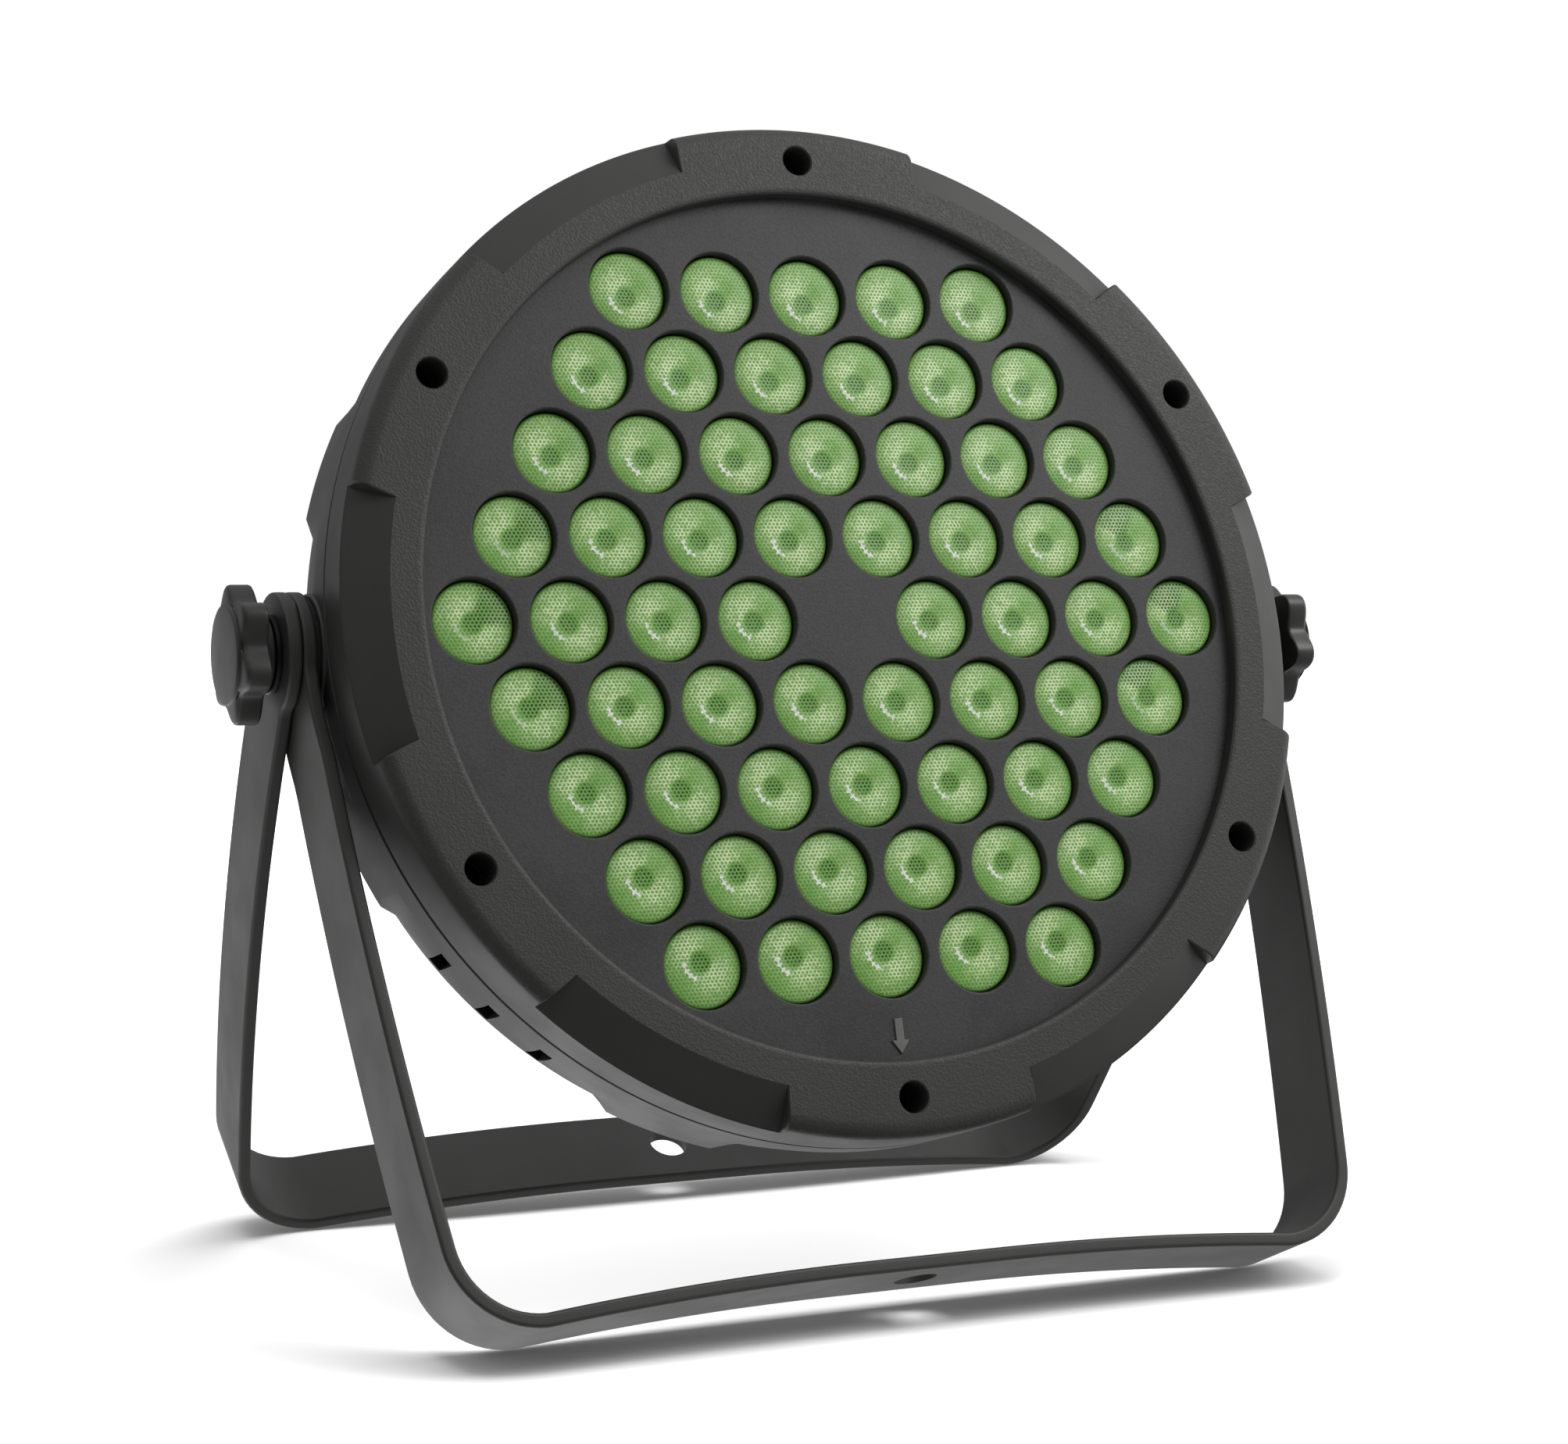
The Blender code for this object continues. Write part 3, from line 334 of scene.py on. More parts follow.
def lens_acrylic(name):
    """Tinted lens moulding: rows of tiny cells round a darker eye of painted shade (the shaded LED recess
    seen through the lens), with painted highlight in two opposite sectors and a painted glint.
    """
    made, graph, shader = new_material(name, coat=0.06, specular=0.3)
    smooth, times = graph.smooth, graph.times
    spot = graph.node("ShaderNodeAttribute", attribute_name="lens_spot").outputs["Vector"]
    eye = graph.node("ShaderNodeAttribute", attribute_name="lens_eye").outputs["Vector"]
    x, y, off_side = graph.split(spot)
    eye_x, eye_y, seed = graph.split(eye)
    radius = graph.length(graph.join(x, y))
    dx, dy = graph.math("SUBTRACT", x, eye_x), graph.math("SUBTRACT", y, eye_y)
    away = graph.length(graph.join(dx, dy))
    turn = graph.math("ARCTAN2", dy, dx)
    cell = cell_distance(graph, x, y)
    wall = smooth(cell, 0.22, 0.5)

    # Painted highlight: pale cell walls, most in the two bright sectors and near the eye
    local = graph.join(x, y, seed)
    blotch = graph.noise(local, 0.55, 2.0, 0.5)
    sparkle = graph.noise(local, 1.4, 1.0, 0.5)
    spoke = graph.join(times(turn, 5.0), times(away, 0.35), seed)
    ray = graph.noise(spoke, 1.6, 2.0, 0.6)
    sector = times(graph.math("SUBTRACT", turn, HIGHLIGHT_TURN), 2.0)
    sector = graph.math("MULTIPLY_ADD", graph.math("COSINE", sector), 0.42, 0.5)
    ring = times(smooth(away, EYE_RADIUS * 0.75, EYE_RADIUS * 1.3), smooth(away, 9.8, 4.2, 0.22, 1.08))
    glow = times(sector, ring, smooth(ray, 0.25, 0.7, 0.5, 1.2), smooth(blotch, 0.25, 0.7, 0.6, 1.15))
    lit = graph.math("MULTIPLY_ADD", wall, smooth(sparkle, 0.3, 0.65, 0.5, 1.15), 0.08)
    whiten = graph.math("MULTIPLY", graph.math("MULTIPLY_ADD", glow, 1.3, 0.2), lit, clamp=True)
    colour = graph.mix(whiten, LENS_GREEN, LENS_HIGHLIGHT)

    # Painted shade of the LED recess seen through the lens: dark cells in the eye, which fan out to the
    # rim at both ends of the array
    aside = smooth(graph.math("ABSOLUTE", off_side), 0.68, 0.92)
    swing = smooth(off_side, -0.1, 0.1, 0.0, FAN_SWING)
    fan = graph.math("SUBTRACT", turn, graph.math("ADD", swing, FAN_TURN))
    fan = times(aside, smooth(graph.math("ABSOLUTE", fan), 0.9, 0.5))
    eye_shade = graph.math("MAXIMUM", smooth(away, EYE_RADIUS * 1.05, EYE_RADIUS * 0.6), fan)
    colour = graph.mix(times(eye_shade, 0.4), colour, LENS_GREEN)
    shade_dots = times(eye_shade, smooth(sparkle, 0.3, 0.6, 0.6, 1.0), smooth(cell, 0.44, 0.2))
    colour = graph.mix(shade_dots, colour, LENS_SHADE_DOT)

    # Painted glint, weaker where the painted shade fans out
    beads = times(painted_glint(graph, turn, away, seed), graph.math("MULTIPLY_ADD", aside, -0.6, 1.0))
    colour = graph.mix(beads, colour, LENS_GLINT)
    colour = graph.mix(smooth(radius, *RIM_BAND, 0.0, 0.85), colour, LENS_GREEN)
    colour = graph.mix(smooth(radius, *EDGE_BAND, 0.0, 0.95), colour, LENS_EDGE)
    height = times(smooth(cell, 0.5, 0.0), smooth(radius, 9.3, 9.0))
    rough = smooth(wall, 0.0, 1.0, 0.4, 0.28)
    dress(graph, shader, colour, rough, graph.bump(height, 0.12 * MM, 0.5))
    return made


# ---- mesh helpers

def use_up(bm, name):
    """The bmesh as a mesh, with its faces turned outwards."""
    bmesh.ops.recalc_face_normals(bm, faces=bm.faces)
    if bm.calc_volume(signed=True) < 0.0:
        bmesh.ops.reverse_faces(bm, faces=bm.faces)
    mesh = bpy.data.meshes.new(name)
    bm.to_mesh(mesh)
    bm.free()
    return mesh


def stand(name, data):
    """A new object in the scene."""
    made = bpy.data.objects.new(name, data)
    bpy.context.scene.collection.objects.link(made)
    return made


def piece(name, bm, slot, looks=(), replaces=(), body="head", matrix=HEAD, sharp=33.0, even=True):
    """Turns a bmesh in millimetres into a piece in the row frame that rides on a body. Without
    looks, its material is the one named like its slot."""
    mesh = use_up(bm, name)
    mesh.transform(Matrix.Scale(MM, 4) @ matrix)
    mesh.shade_smooth()
    mesh.set_sharp_from_angle(angle=math.radians(sharp))
    for look in looks or (slot,):
        mesh.materials.append(materials[look])
    made = stand(name, mesh)
    if even:
        made.modifiers.new("even_shading", "WEIGHTED_NORMAL").keep_sharp = True
    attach(made, body)
    if replaces:
        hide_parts(*replaces)
    return made


def combine(bm, other, operation="DIFFERENCE"):
    """The bmesh with the other one cut from it or joined to it. Both are used up."""
    pair = [stand("shape", use_up(shape, "shape")) for shape in (bm, other)]
    step = pair[0].modifiers.new("combine", "BOOLEAN")
    step.operation = operation
    step.solver = "EXACT"
    step.object = pair[1]
    graph = bpy.context.evaluated_depsgraph_get()
    baked = bpy.data.meshes.new_from_object(pair[0].evaluated_get(graph))
    result = bmesh.new()
    result.from_mesh(baked)
    for mesh in (pair[0].data, pair[1].data, baked):
        bpy.data.meshes.remove(mesh)  # and the object that shows it
    return result


def circle(radius, count, centre=(0.0, 0.0), turn=0.0):
    angles = [turn + 2 * math.pi * i / count for i in range(count)]
    return [(centre[0] + radius * math.cos(a), centre[1] + radius * math.sin(a)) for a in angles]


def rounded(width, height, centre=(0.0, 0.0), corner=1.0, steps=6):
    """Outline of a rectangle with round corners."""
    points = []
    for index, (sx, sy) in enumerate(((1, 1), (-1, 1), (-1, -1), (1, -1))):
        cx = centre[0] + sx * (width / 2 - corner)
        cy = centre[1] + sy * (height / 2 - corner)
        for i in range(steps + 1):
            a = math.radians(90 * index + 90 * i / steps)
            points.append((cx + corner * math.cos(a), cy + corner * math.sin(a)))
    return points


def skin(bm, rings, look=None):
    """Faces between each ring of vertices and the next. A ring may be a single vertex."""
    for number, (a, b) in enumerate(zip(rings, rings[1:])):
        count = max(len(a), len(b))
        for i in range(count):
            j = (i + 1) % count
            if len(a) == 1:
                face = bm.faces.new((a[0], b[j], b[i]))
            elif len(b) == 1:
                face = bm.faces.new((a[i], a[j], b[0]))
            else:
                face = bm.faces.new((a[i], a[j], b[j], b[i]))
            if look:
                face.material_index = look(number, i)


def add_loft(bm, rings, closed=False, look=None):
    """Skins a list of equal rings. Closed joins the last ring to the first, else both ends get a cap."""
    made = [[bm.verts.new(p) for p in ring] for ring in rings]
    if closed:
        skin(bm, made + made[:1], look)
    else:
        skin(bm, made, look)
        bm.faces.new(made[0][::-1])
        bm.faces.new(made[-1])


QUARTER = [math.radians(t) for t in (0, 30, 60, 90)]  # steps of a small round


def add_prism(bm, loop, z0, z1, edge=0.0):
    """A prism whose top and bottom edges are eased by a small round."""
    middle = Vector((sum(x for x, _ in loop), sum(y for _, y in loop))) / len(loop)
    low, high = min(z0, z1), max(z0, z1)
    if edge == 0.0:
        levels = [(low, 0.0), (high, 0.0)]
    else:
        arc = [(edge * (1 - math.sin(t)), edge * (1 - math.cos(t))) for t in QUARTER]
        levels = [(low + up, back) for back, up in arc]
        levels += [(high - up, back) for back, up in arc[::-1]]
    rings = []
    for z, back in levels:
        ring = []
        for x, y in loop:
            arm = Vector((x, y)) - middle
            arm *= (arm.length - back * 1.3) / arm.length  # 1.3 allows for the slant to a corner
            ring.append((middle.x + arm.x, middle.y + arm.y, z))
        rings.append(ring)
    add_loft(bm, rings)


def shrunk(loop, back):
    """The loop moved inwards by back, negative for outwards."""
    area = sum(a[0] * b[1] - b[0] * a[1] for a, b in zip(loop, loop[1:] + loop[:1]))
    side = 1 if area > 0 else -1
    moved = []
    for before, here, after in zip(loop[-1:] + loop[:-1], loop, loop[1:] + loop[:1]):
        one = (Vector(here) - Vector(before)).normalized()
        two = (Vector(after) - Vector(here)).normalized()
        normal = Vector((-(one.y + two.y), one.x + two.x)).normalized() * side
        stretch = max(normal.dot(Vector((-one.y, one.x)) * side), 0.3)
        moved.append((here[0] + normal.x * back / stretch, here[1] + normal.y * back / stretch))
    return moved


def add_plate(bm, outer, holes, z0, z1, edge=0.0, hole_edge=None):
    """A flat plate with holes right through it. z1 is its shown side, whose edges are rounded."""
    hole_edge = edge if hole_edge is None else hole_edge
    out = 1 if z1 > z0 else -1
    loops = [(outer, edge, 1)] + [(hole, hole_edge, -1) for hole in holes]
    flat_loops = [shrunk(loop, side * size) if size else list(loop) for loop, size, side in loops]
    triangles = tessellate_polygon([[Vector((x, y, 0.0)) for x, y in loop] for loop in flat_loops])
    low, high = [], []
    for (loop, size, side), flat in zip(loops, flat_loops):
        below = [bm.verts.new((x, y, z0)) for x, y in loop]
        above = [bm.verts.new((x, y, z1)) for x, y in flat]
        rows = [below]
        if size:
            for t in QUARTER[:3]:
                ring = shrunk(loop, side * size * (1 - math.cos(t)))
                rows.append([bm.verts.new((x, y, z1 - out * size * (1 - math.sin(t)))) for x, y in ring])
        skin(bm, rows + [above])
        low += below
        high += above
    for a, b, c in triangles:
        bm.faces.new((high[a], high[b], high[c]))
    for a, b, c in tessellate_polygon([[Vector((x, y, 0.0)) for x, y in loop] for loop, _, _ in loops]):
        bm.faces.new((low[a], low[c], low[b]))


def lathe_rings(bm, profile, count, centre):
    """Rings of vertices for (radius, z) points about the z axis, one vertex where the radius is zero."""
    rings = []
    for radius, z in profile:
        spots = circle(radius, count, centre) if radius else [centre]
        rings.append([bm.verts.new((x, y, z)) for x, y in spots])
    return rings


def add_lathe(bm, profile, count, centre=(0.0, 0.0)):
    """Turns (radius, z) points about the z axis. The first and last radius are zero."""
    skin(bm, lathe_rings(bm, profile, count, centre))


def add_box(bm, low, high):
    corners = [(low[0], low[1]), (high[0], low[1]), (high[0], high[1]), (low[0], high[1])]
    add_prism(bm, corners, low[2], high[2])


def add_turned(bm, shape, *turns):
    """Adds a bmesh after turning it, and uses it up."""
    for matrix in turns:
        shape.transform(matrix)
    mesh = use_up(shape, "shape")
    bm.from_mesh(mesh)
    bpy.data.meshes.remove(mesh)


def spin(degrees):
    return Matrix.Rotation(math.radians(degrees), 4, "Z")


def outward(side):
    """Turns a shape's own z axis out of the head, to the left (-1) or to the right (1)."""
    return ALONG_X if side > 0 else ALONG_X.inverted()


# ---- the head's face: bezel, lens panel, lenses

LENSES = []
for row in range(-4, 5):
    across = 9 - abs(row)
    for i in range(across):
        spot = ((i - (across - 1) / 2) * PITCH, row * PITCH * math.sqrt(3) / 2)
        if math.hypot(*spot) > 1.0:
            LENSES.append(spot)
SCREWS = circle(SCREW_CIRCLE_R, 6, turn=math.radians(30))

# Rows of the bezel's section, as (radius, z)
BEZEL_INNER = [(108.7, 2.2), (108.7, 4.4), (108.83, 4.95), (109.2, 5.35), (109.75, 5.56),
               (110.4, 5.6), (117.0, 5.6)]
BEZEL_LOBE = [(BORDER_R, FACE_Z), (120.1, FACE_Z)]
BEZEL_LOBE += [(127.0 - LOBE_ROUND * (1 - math.sin(t)), FACE_Z - LOBE_ROUND * (1 - math.cos(t)))
               for t in [math.pi / 12 * i for i in range(7)]]
BEZEL_LOBE.append((127.15, -0.45))
BEZEL_FACET = [(BORDER_R, 5.48), (120.1, 3.75), (123.0, 2.03), (124.04, 1.4), (125.0, 0.83),
               (125.83, 0.33), (126.3, 0.04), (126.7, -0.2), (127.0, -0.42), (127.15, -0.65)]
BEZEL_WALL = [(r - (EASE if r > 125.0 and z > 0.0 else 0.0), max(z - EASE, -0.65)) for r, z in BEZEL_LOBE]
BEZEL_ROWS = {"facet": BEZEL_FACET, "lobe": BEZEL_LOBE, "wall": BEZEL_WALL}
BEZEL_OUTER = [(127.25, -6.0), (127.35, -11.7), (127.1, -12.2), (124.5, -12.2), (124.3, -9.0),
               (113.0, -9.0), (113.0, 2.2)]
SCREW_WELL = [(0, -10.5), (1.8, -10.5), (1.8, -5.0), (3.7, -5.0), (3.8, 5.25), (4.1, 5.62),
              (4.2, 7.0), (0, 7.0)]


def border_spread(radius):
    """Extra degrees that a facet gains from its inner edge to its rim."""
    return min(max((radius - BORDER_R) / BORDER_RUN, 0.0), 1.0)


def bezel_ring(middle, step, kind):
    """One section of the bezel. step is the angle from the facet's middle, at its inner edge."""
    points = []
    for r, z in BEZEL_INNER + BEZEL_ROWS[kind] + BEZEL_OUTER:
        spread = border_spread(r)
        if abs(step) <= BORDER_HALF + 0.01:
            angle = step * (BORDER_HALF + spread) / BORDER_HALF
        else:
            share = (HALF_SECTOR - BORDER_HALF - spread) / (HALF_SECTOR - BORDER_HALF)
            angle = HALF_SECTOR + (step - HALF_SECTOR) * share
        a = math.radians(middle + angle)
        points.append((r * math.cos(a), r * math.sin(a), z))
    return points


def front_bezel():
    bm = bmesh.new()
    rings, kinds = [], []
    lobe_width = 2 * (HALF_SECTOR - BORDER_HALF)
    wall = BORDER_HALF + 0.05
    first = wall + 0.15
    for sector in range(6):
        steps = [(-BORDER_HALF + BORDER_HALF / 10 * i, "facet") for i in range(21)]
        steps += [(wall, "wall"), (first, "lobe")]
        steps += [(first + (lobe_width - 0.4) * i / 24, "lobe") for i in range(1, 24)]
        steps += [(2 * HALF_SECTOR - first, "lobe"), (2 * HALF_SECTOR - wall, "wall")]
        for step, kind in steps:
            rings.append(bezel_ring(2 * HALF_SECTOR * sector, step, kind))
            kinds.append(kind)
    inner_rows, lobe_rows = len(BEZEL_INNER), len(BEZEL_LOBE)

    def look(ring, i):
        """0, pebbled, on the flat face and the lobes. 1, smooth, on the facets and the rest."""
        on_face = 3 <= i < inner_rows
        on_lobe = kinds[ring] == "lobe" and kinds[(ring + 1) % len(kinds)] == "lobe"
        return 0 if on_face or (on_lobe and inner_rows <= i < inner_rows + lobe_rows - 3) else 1

    add_loft(bm, rings, closed=True, look=look)
    bores = bmesh.new()
    for spot in SCREWS:
        add_lathe(bores, SCREW_WELL, 40, spot)
    bm = combine(bm, bores)
    piece("bezel_skin", bm, "bezel_plastic", ["bezel_pebble", "bezel_smooth"], ["front_bezel"], sharp=26.0)


def lens_panel():
    bm = bmesh.new()
    holes = [circle(PANEL_HOLE_R, LENS_SIDES, spot) for spot in LENSES]
    add_plate(bm, circle(112.6, 160), holes, -1.3, PANEL_TOP, 0.0, 0.45)
    piece("panel_skin", bm, "panel_plastic", ["panel"], ["lens_panel"], sharp=50.0)
    bm = bmesh.new()
    arrow = [(-1.05, -98.4), (-1.05, -103.6), (-2.3, -103.6), (0.0, -106.9), (2.3, -103.6),
             (1.05, -103.6), (1.05, -98.4)]
    add_plate(bm, arrow, [], PANEL_TOP - 0.3, 2.35, 0.15)
    piece("panel_arrow", bm, "panel_plastic", ["arrow"])


def lens_array():
    """Sixty lenses on one web. lens_spot is a point's place on its own lens and how far that lens
    is off to the side, lens_eye the middle of its pattern and a seed."""
    bm = bmesh.new()
    spot_layer = bm.verts.layers.float_vector.new("lens_spot")
    eye_layer = bm.verts.layers.float_vector.new("lens_eye")
    dome = [(0.0, 0.18), (1.2, 0.19), (2.4, 0.24), (3.6, 0.31), (4.8, 0.35), (6.0, 0.32), (7.2, 0.24),
            (8.2, 0.13), (8.9, 0.02), (9.5, -0.08), (9.8, -0.25), (9.98, -0.6), (LENS_R, -1.0),
            (LENS_R, WEB_TOP - 0.3)]
    for number, (cx, cy) in enumerate(LENSES):
        off_side = cx / (4 * PITCH)
        # Middle of this lens's painted shade and glint, moved with the lens's place in the array
        eye = Vector((-0.6 - 0.4 * off_side, -0.3 - 1.5 * cy / 84, (number * 7.31) % 50))
        rings = lathe_rings(bm, dome, LENS_SIDES, (cx, cy))
        for vert in sum(rings, []):
            vert[spot_layer] = Vector((vert.co.x - cx, vert.co.y - cy, off_side))
            vert[eye_layer] = eye
        skin(bm, rings)
        bm.faces.new(rings[-1])
    first = len(bm.faces)
    add_plate(bm, circle(108.0, 120), [], -3.6, WEB_TOP, 0.3)
    for face in list(bm.faces)[first:]:
        face.material_index = 1
    piece("lens_field", bm, "lens_acrylic", ["lens", "lens_web"], ["lens_array"], sharp=40.0, even=False)


def cross_screw(node, spot, head_r, head_h, seat, facing, look):
    """A pan head with a cross recess. facing is +1 on the face, -1 on the back."""
    bm = bmesh.new()
    rim = [(head_r * math.cos(t), head_h * math.sin(t)) for t in [math.pi / 14 * i for i in range(7)]]
    add_lathe(bm, [(0, -0.1), (head_r, -0.1), *rim, (0, head_h)], 32)
    cross = bmesh.new()
    arm, half = head_r * 0.62, head_r * 0.13
    outline = []
    for quarter in range(4):
        for u, v in ((arm, -half), (arm, half), (half, half)):
            a = math.pi / 2 * quarter
            outline.append((u * math.cos(a) - v * math.sin(a), u * math.sin(a) + v * math.cos(a)))
    floor = [(x * 0.4, y * 0.4, head_h * 0.25) for x, y in outline]
    add_loft(cross, [floor, [(x, y, head_h + 0.5) for x, y in outline]])
    turn = Matrix.Translation((*spot, seat))
    if facing < 0:
        turn = turn @ Matrix.Rotation(math.pi, 4, "X")
    turn = turn @ spin(17.0 * (spot[0] + spot[1]))
    piece(f"{node}_head", combine(bm, cross), look, replaces=[node], matrix=HEAD @ turn)


# ---- rear housing

PAD_EDGES = []
for first, last in PADS:
    for base, sign in ((0, 1), (0, -1), (180, 1), (180, -1)):
        PAD_EDGES.append(tuple(sorted(((base + sign * first) % 360, (base + sign * last) % 360))))


def pad_rise(angle):
    """1 on a pad, 0 off it, and a slanted side wall between."""
    for first, last in PAD_EDGES:
        inside = min(angle - (first - PAD_OUT), (last + PAD_OUT) - angle)
        if inside > 0:
            return min(inside / (PAD_OUT + PAD_IN), 1.0)
    return 0.0


def housing_ring(angle):
    """The housing's section at one angle: along the back, out over the shoulder and back inside."""
    rise = pad_rise(angle)
    a = math.radians(angle)
    centre = BEZEL_R - 0.8 - SHOULDER_R

    def arc(radius, drop, turns):
        return [(centre + radius * math.cos(math.radians(t)),
                 BAND_END_Z - drop - radius * math.sin(math.radians(t))) for t in turns]

    band = arc(SHOULDER_R, 0.5, (0, 0.4, 4, 8, 12, 13.1))
    band = [(r + rise * (BEZEL_R - r), z) for r, z in band]
    outer = band + arc(SHOULDER_R, 0.5, (14.4, 18, 23, 28, 34, 40, 46, 52, 58, 64, 70, 76, 82))
    inner = arc(SHOULDER_R - WALL, 0.9, (0, 12, 24, 36, 48, 60, 72, 82))
    points = [(10.0, BACK_Z), (66.0, BACK_Z), (68.8, BACK_Z + 0.05), (70.2, BACK_Z + 0.35)]
    points += outer[::-1]
    points += [(BEZEL_R - 0.15 * (1 - rise), BAND_END_Z - 0.1), (BEZEL_R, BAND_END_Z + 0.15)]
    points += [(BEZEL_R, -13.1), (BEZEL_R - 0.3, -12.7), (123.9, -12.7), (123.9, -9.4), (113.4, -9.4)]
    points += [(113.4, -18.2), (110.0, -18.2), (110.0, -21.0)]
    points += inner
    points += [(67.0, BACK_Z + WALL), (10.0, BACK_Z + WALL)]
    return [(r * math.cos(a), r * math.sin(a), z) for r, z in points]


def housing_shell():
    marks = []
    for first, last in PAD_EDGES:
        marks += [first - PAD_OUT, first + PAD_IN, last - PAD_IN, last + PAD_OUT]
    angles = [i for i in range(360) if min(abs(i - m) for m in marks) > 0.45] + marks
    bm = bmesh.new()
    add_loft(bm, list(zip(*[housing_ring(angle) for angle in sorted(angles)])))
    return bm


def rear_housing():
    bosses = bmesh.new()
    for side in (-1, 1):
        shape = bmesh.new()
        add_lathe(shape, [(0, 113.8), (14.2, 113.8), (14.2, 127.3), (14.0, 127.75),
                          (13.5, BOSS_FACE_X), (0, BOSS_FACE_X)], 56)
        add_turned(bosses, shape, outward(side), TO_TILT_AXIS)
    bm = combine(housing_shell(), bosses, "UNION")

    cuts = bmesh.new()
    through = (BACK_Z - 2, BACK_Z + WALL + 2)
    for spot in SCREWS:
        add_prism(cuts, circle(1.8, 16, spot), -16.6, -8.0)
    add_prism(cuts, circle(22.5, 64, FAN_CENTRE), *through)
    add_prism(cuts, rounded(35, 15, (WINDOW_X, PANEL_Y), 0.6), *through)
    for spot in BUTTONS.values():
        add_prism(cuts, circle(BUTTON_HOLE_R, 32, spot), *through)
    for x in (-SIGNAL_X, SIGNAL_X):
        add_prism(cuts, circle(11.9, 48, (x, SIGNAL_Y)), *through)
        for sx, sy in SOCKET_SCREWS:
            add_prism(cuts, circle(1.4, 16, (x + sx, SIGNAL_Y + sy)), *through)
    add_prism(cuts, rounded(29.8, 29.8, (0, INLET_Y), 0.5), *through)
    for sx, sy in INLET_SCREWS:
        add_prism(cuts, circle(1.4, 16, (sx, INLET_Y + sy)), *through)
    add_prism(cuts, circle(2.2, 20, SAFETY_EYE), *through)
    for side in (-1, 1):
        shape = bmesh.new()
        add_prism(shape, circle(6.2, 40), 110.0, BOSS_FACE_X + 2)
        add_turned(cuts, shape, outward(side), TO_TILT_AXIS)
    for slot in SLOTS:
        for angle in (slot, 180 - slot, 180 + slot, 360 - slot):
            shape = bmesh.new()
            add_box(shape, *SLOT_BOX)
            add_turned(cuts, shape, spin(angle))
    piece("housing_skin", combine(bm, cuts), "housing_plastic", ["housing"], ["rear_housing"], sharp=30.0)


# ---- brackets

def strap_path(eye_x, splay, bend, reach, corner, rise):
    """Outer-face stations as (x, s, normal x, normal s) from one eye down to the middle of the bar."""
    stations = []
    leg_end = reach - corner
    downs = [-EYE_R * math.cos(math.radians(t)) for t in (4, 12, 20, 28, 36, 44, 52, 60, 68, 76, 84)]
    downs += [0, 2, 4, 6, 8, 10, 12, 14, 17, 20, 23, 26, 29, 32]
    downs += [32.0 + (leg_end - 32.0) * i / 22 for i in range(1, 23)]
    for s in downs:
        t = min(max((s - 12.0) / 20.0, 0.0), 1.0)
        ease = t * t * (3 - 2 * t)
        slope = (splay + 2 * bend * s) * ease
        flat = math.hypot(1.0, slope)
        stations.append((eye_x + (splay * s + bend * s * s) * ease, s, 1 / flat, -slope / flat))
    x, s, nx, ns = stations[-1]
    radius = (reach - s) / (1 - ns)
    cx, cs = x - nx * radius, s - ns * radius
    first = math.atan2(ns, nx)
    for i in range(1, 15):
        t = first + (math.pi / 2 - first) * i / 14
        stations.append((cx + radius * math.cos(t), cs + radius * math.sin(t), math.cos(t), math.sin(t)))
    run = cx - PAD_HALF
    for i in range(1, 17):
        x = PAD_HALF + run * (1 - i / 16)
        lean = -2 * rise * (x - PAD_HALF) / run / run
        flat = math.hypot(1.0, lean)
        stations.append((x, reach - rise * (1 - ((x - PAD_HALF) / run) ** 2), lean / flat, 1 / flat))
    return stations


def strap_width(s, top, low, reach):
    """Half the strap's width: round about the eye, then tapering from top to low."""
    if s < 8.0:
        return math.sqrt(max(EYE_R ** 2 - s * s, 0.0))
    t = min((s - 8.0) / 16.0, 1.0)
    neck = math.sqrt(EYE_R ** 2 - 64.0)
    straight = (top + (low - top) * s / reach) / 2
    return neck + (straight - neck) * t * t * (3 - 2 * t)


def bracket(node, matrix, strap, widths):
    reach = strap[3]
    path = strap_path(*strap)
    rings = []
    for x, s, nx, ns in path + [(-x, s, -nx, ns) for x, s, nx, ns in path[::-1]]:
        half = strap_width(s, *widths, reach)
        c = min(0.85, half * 0.4)
        ring = []
        for t in [math.pi / 2 * i / 4 for i in range(5)]:
            ring.append((c * (1 - math.cos(t)), half - c * (1 - math.sin(t))))
        section = [(d, -y) for d, y in ring[::-1]] + ring
        section += [(STRAP - d, y) for d, y in ring[::-1]] + [(STRAP - d, -y) for d, y in ring]
        rings.append([(x - nx * depth, y, -(s - ns * depth)) for depth, y in section])
    bm = bmesh.new()
    add_loft(bm, rings)
    bmesh.ops.remove_doubles(bm, verts=bm.verts, dist=0.001)
    holes = bmesh.new()
    for side in (-1, 1):
        shape = bmesh.new()
        add_prism(shape, circle(EYE_HOLE_R, 40), 120, 145)
        add_turned(holes, shape, outward(side))
    add_prism(holes, circle(BOLT_HOLE_R, 48), -reach - 6, -reach + 14)
    piece(f"{node}_strap", combine(bm, holes), "bracket_plastic", ["bracket"], [node], node, matrix, 32.0)


# ---- tilt joint hardware

def lobed(radius, turn, depth, count=144):
    """Outline of the six-lobed knob: round lobes, wide shallow valleys."""
    points = []
    for i in range(count):
        t = 2 * math.pi * i / count
        wave = math.cos(6 * (t - turn))
        r = radius - depth + depth * wave
        points.append((r * math.cos(t), r * math.sin(t)))
    return points


def knob(word, side, turn):
    bm = bmesh.new()
    rings = []
    for start, rows in KNOB_ROWS:
        rings += [[(x, y, start + z) for x, y in lobed(radius, turn, depth)] for radius, depth, z in rows]
    add_loft(bm, rings)
    bm.transform(outward(side))
    node = f"{word}_knob"
    piece(f"{node}_skin", bm, "knob_plastic", ["knob"], [node], node, AXIS_FRAME, 38.0)


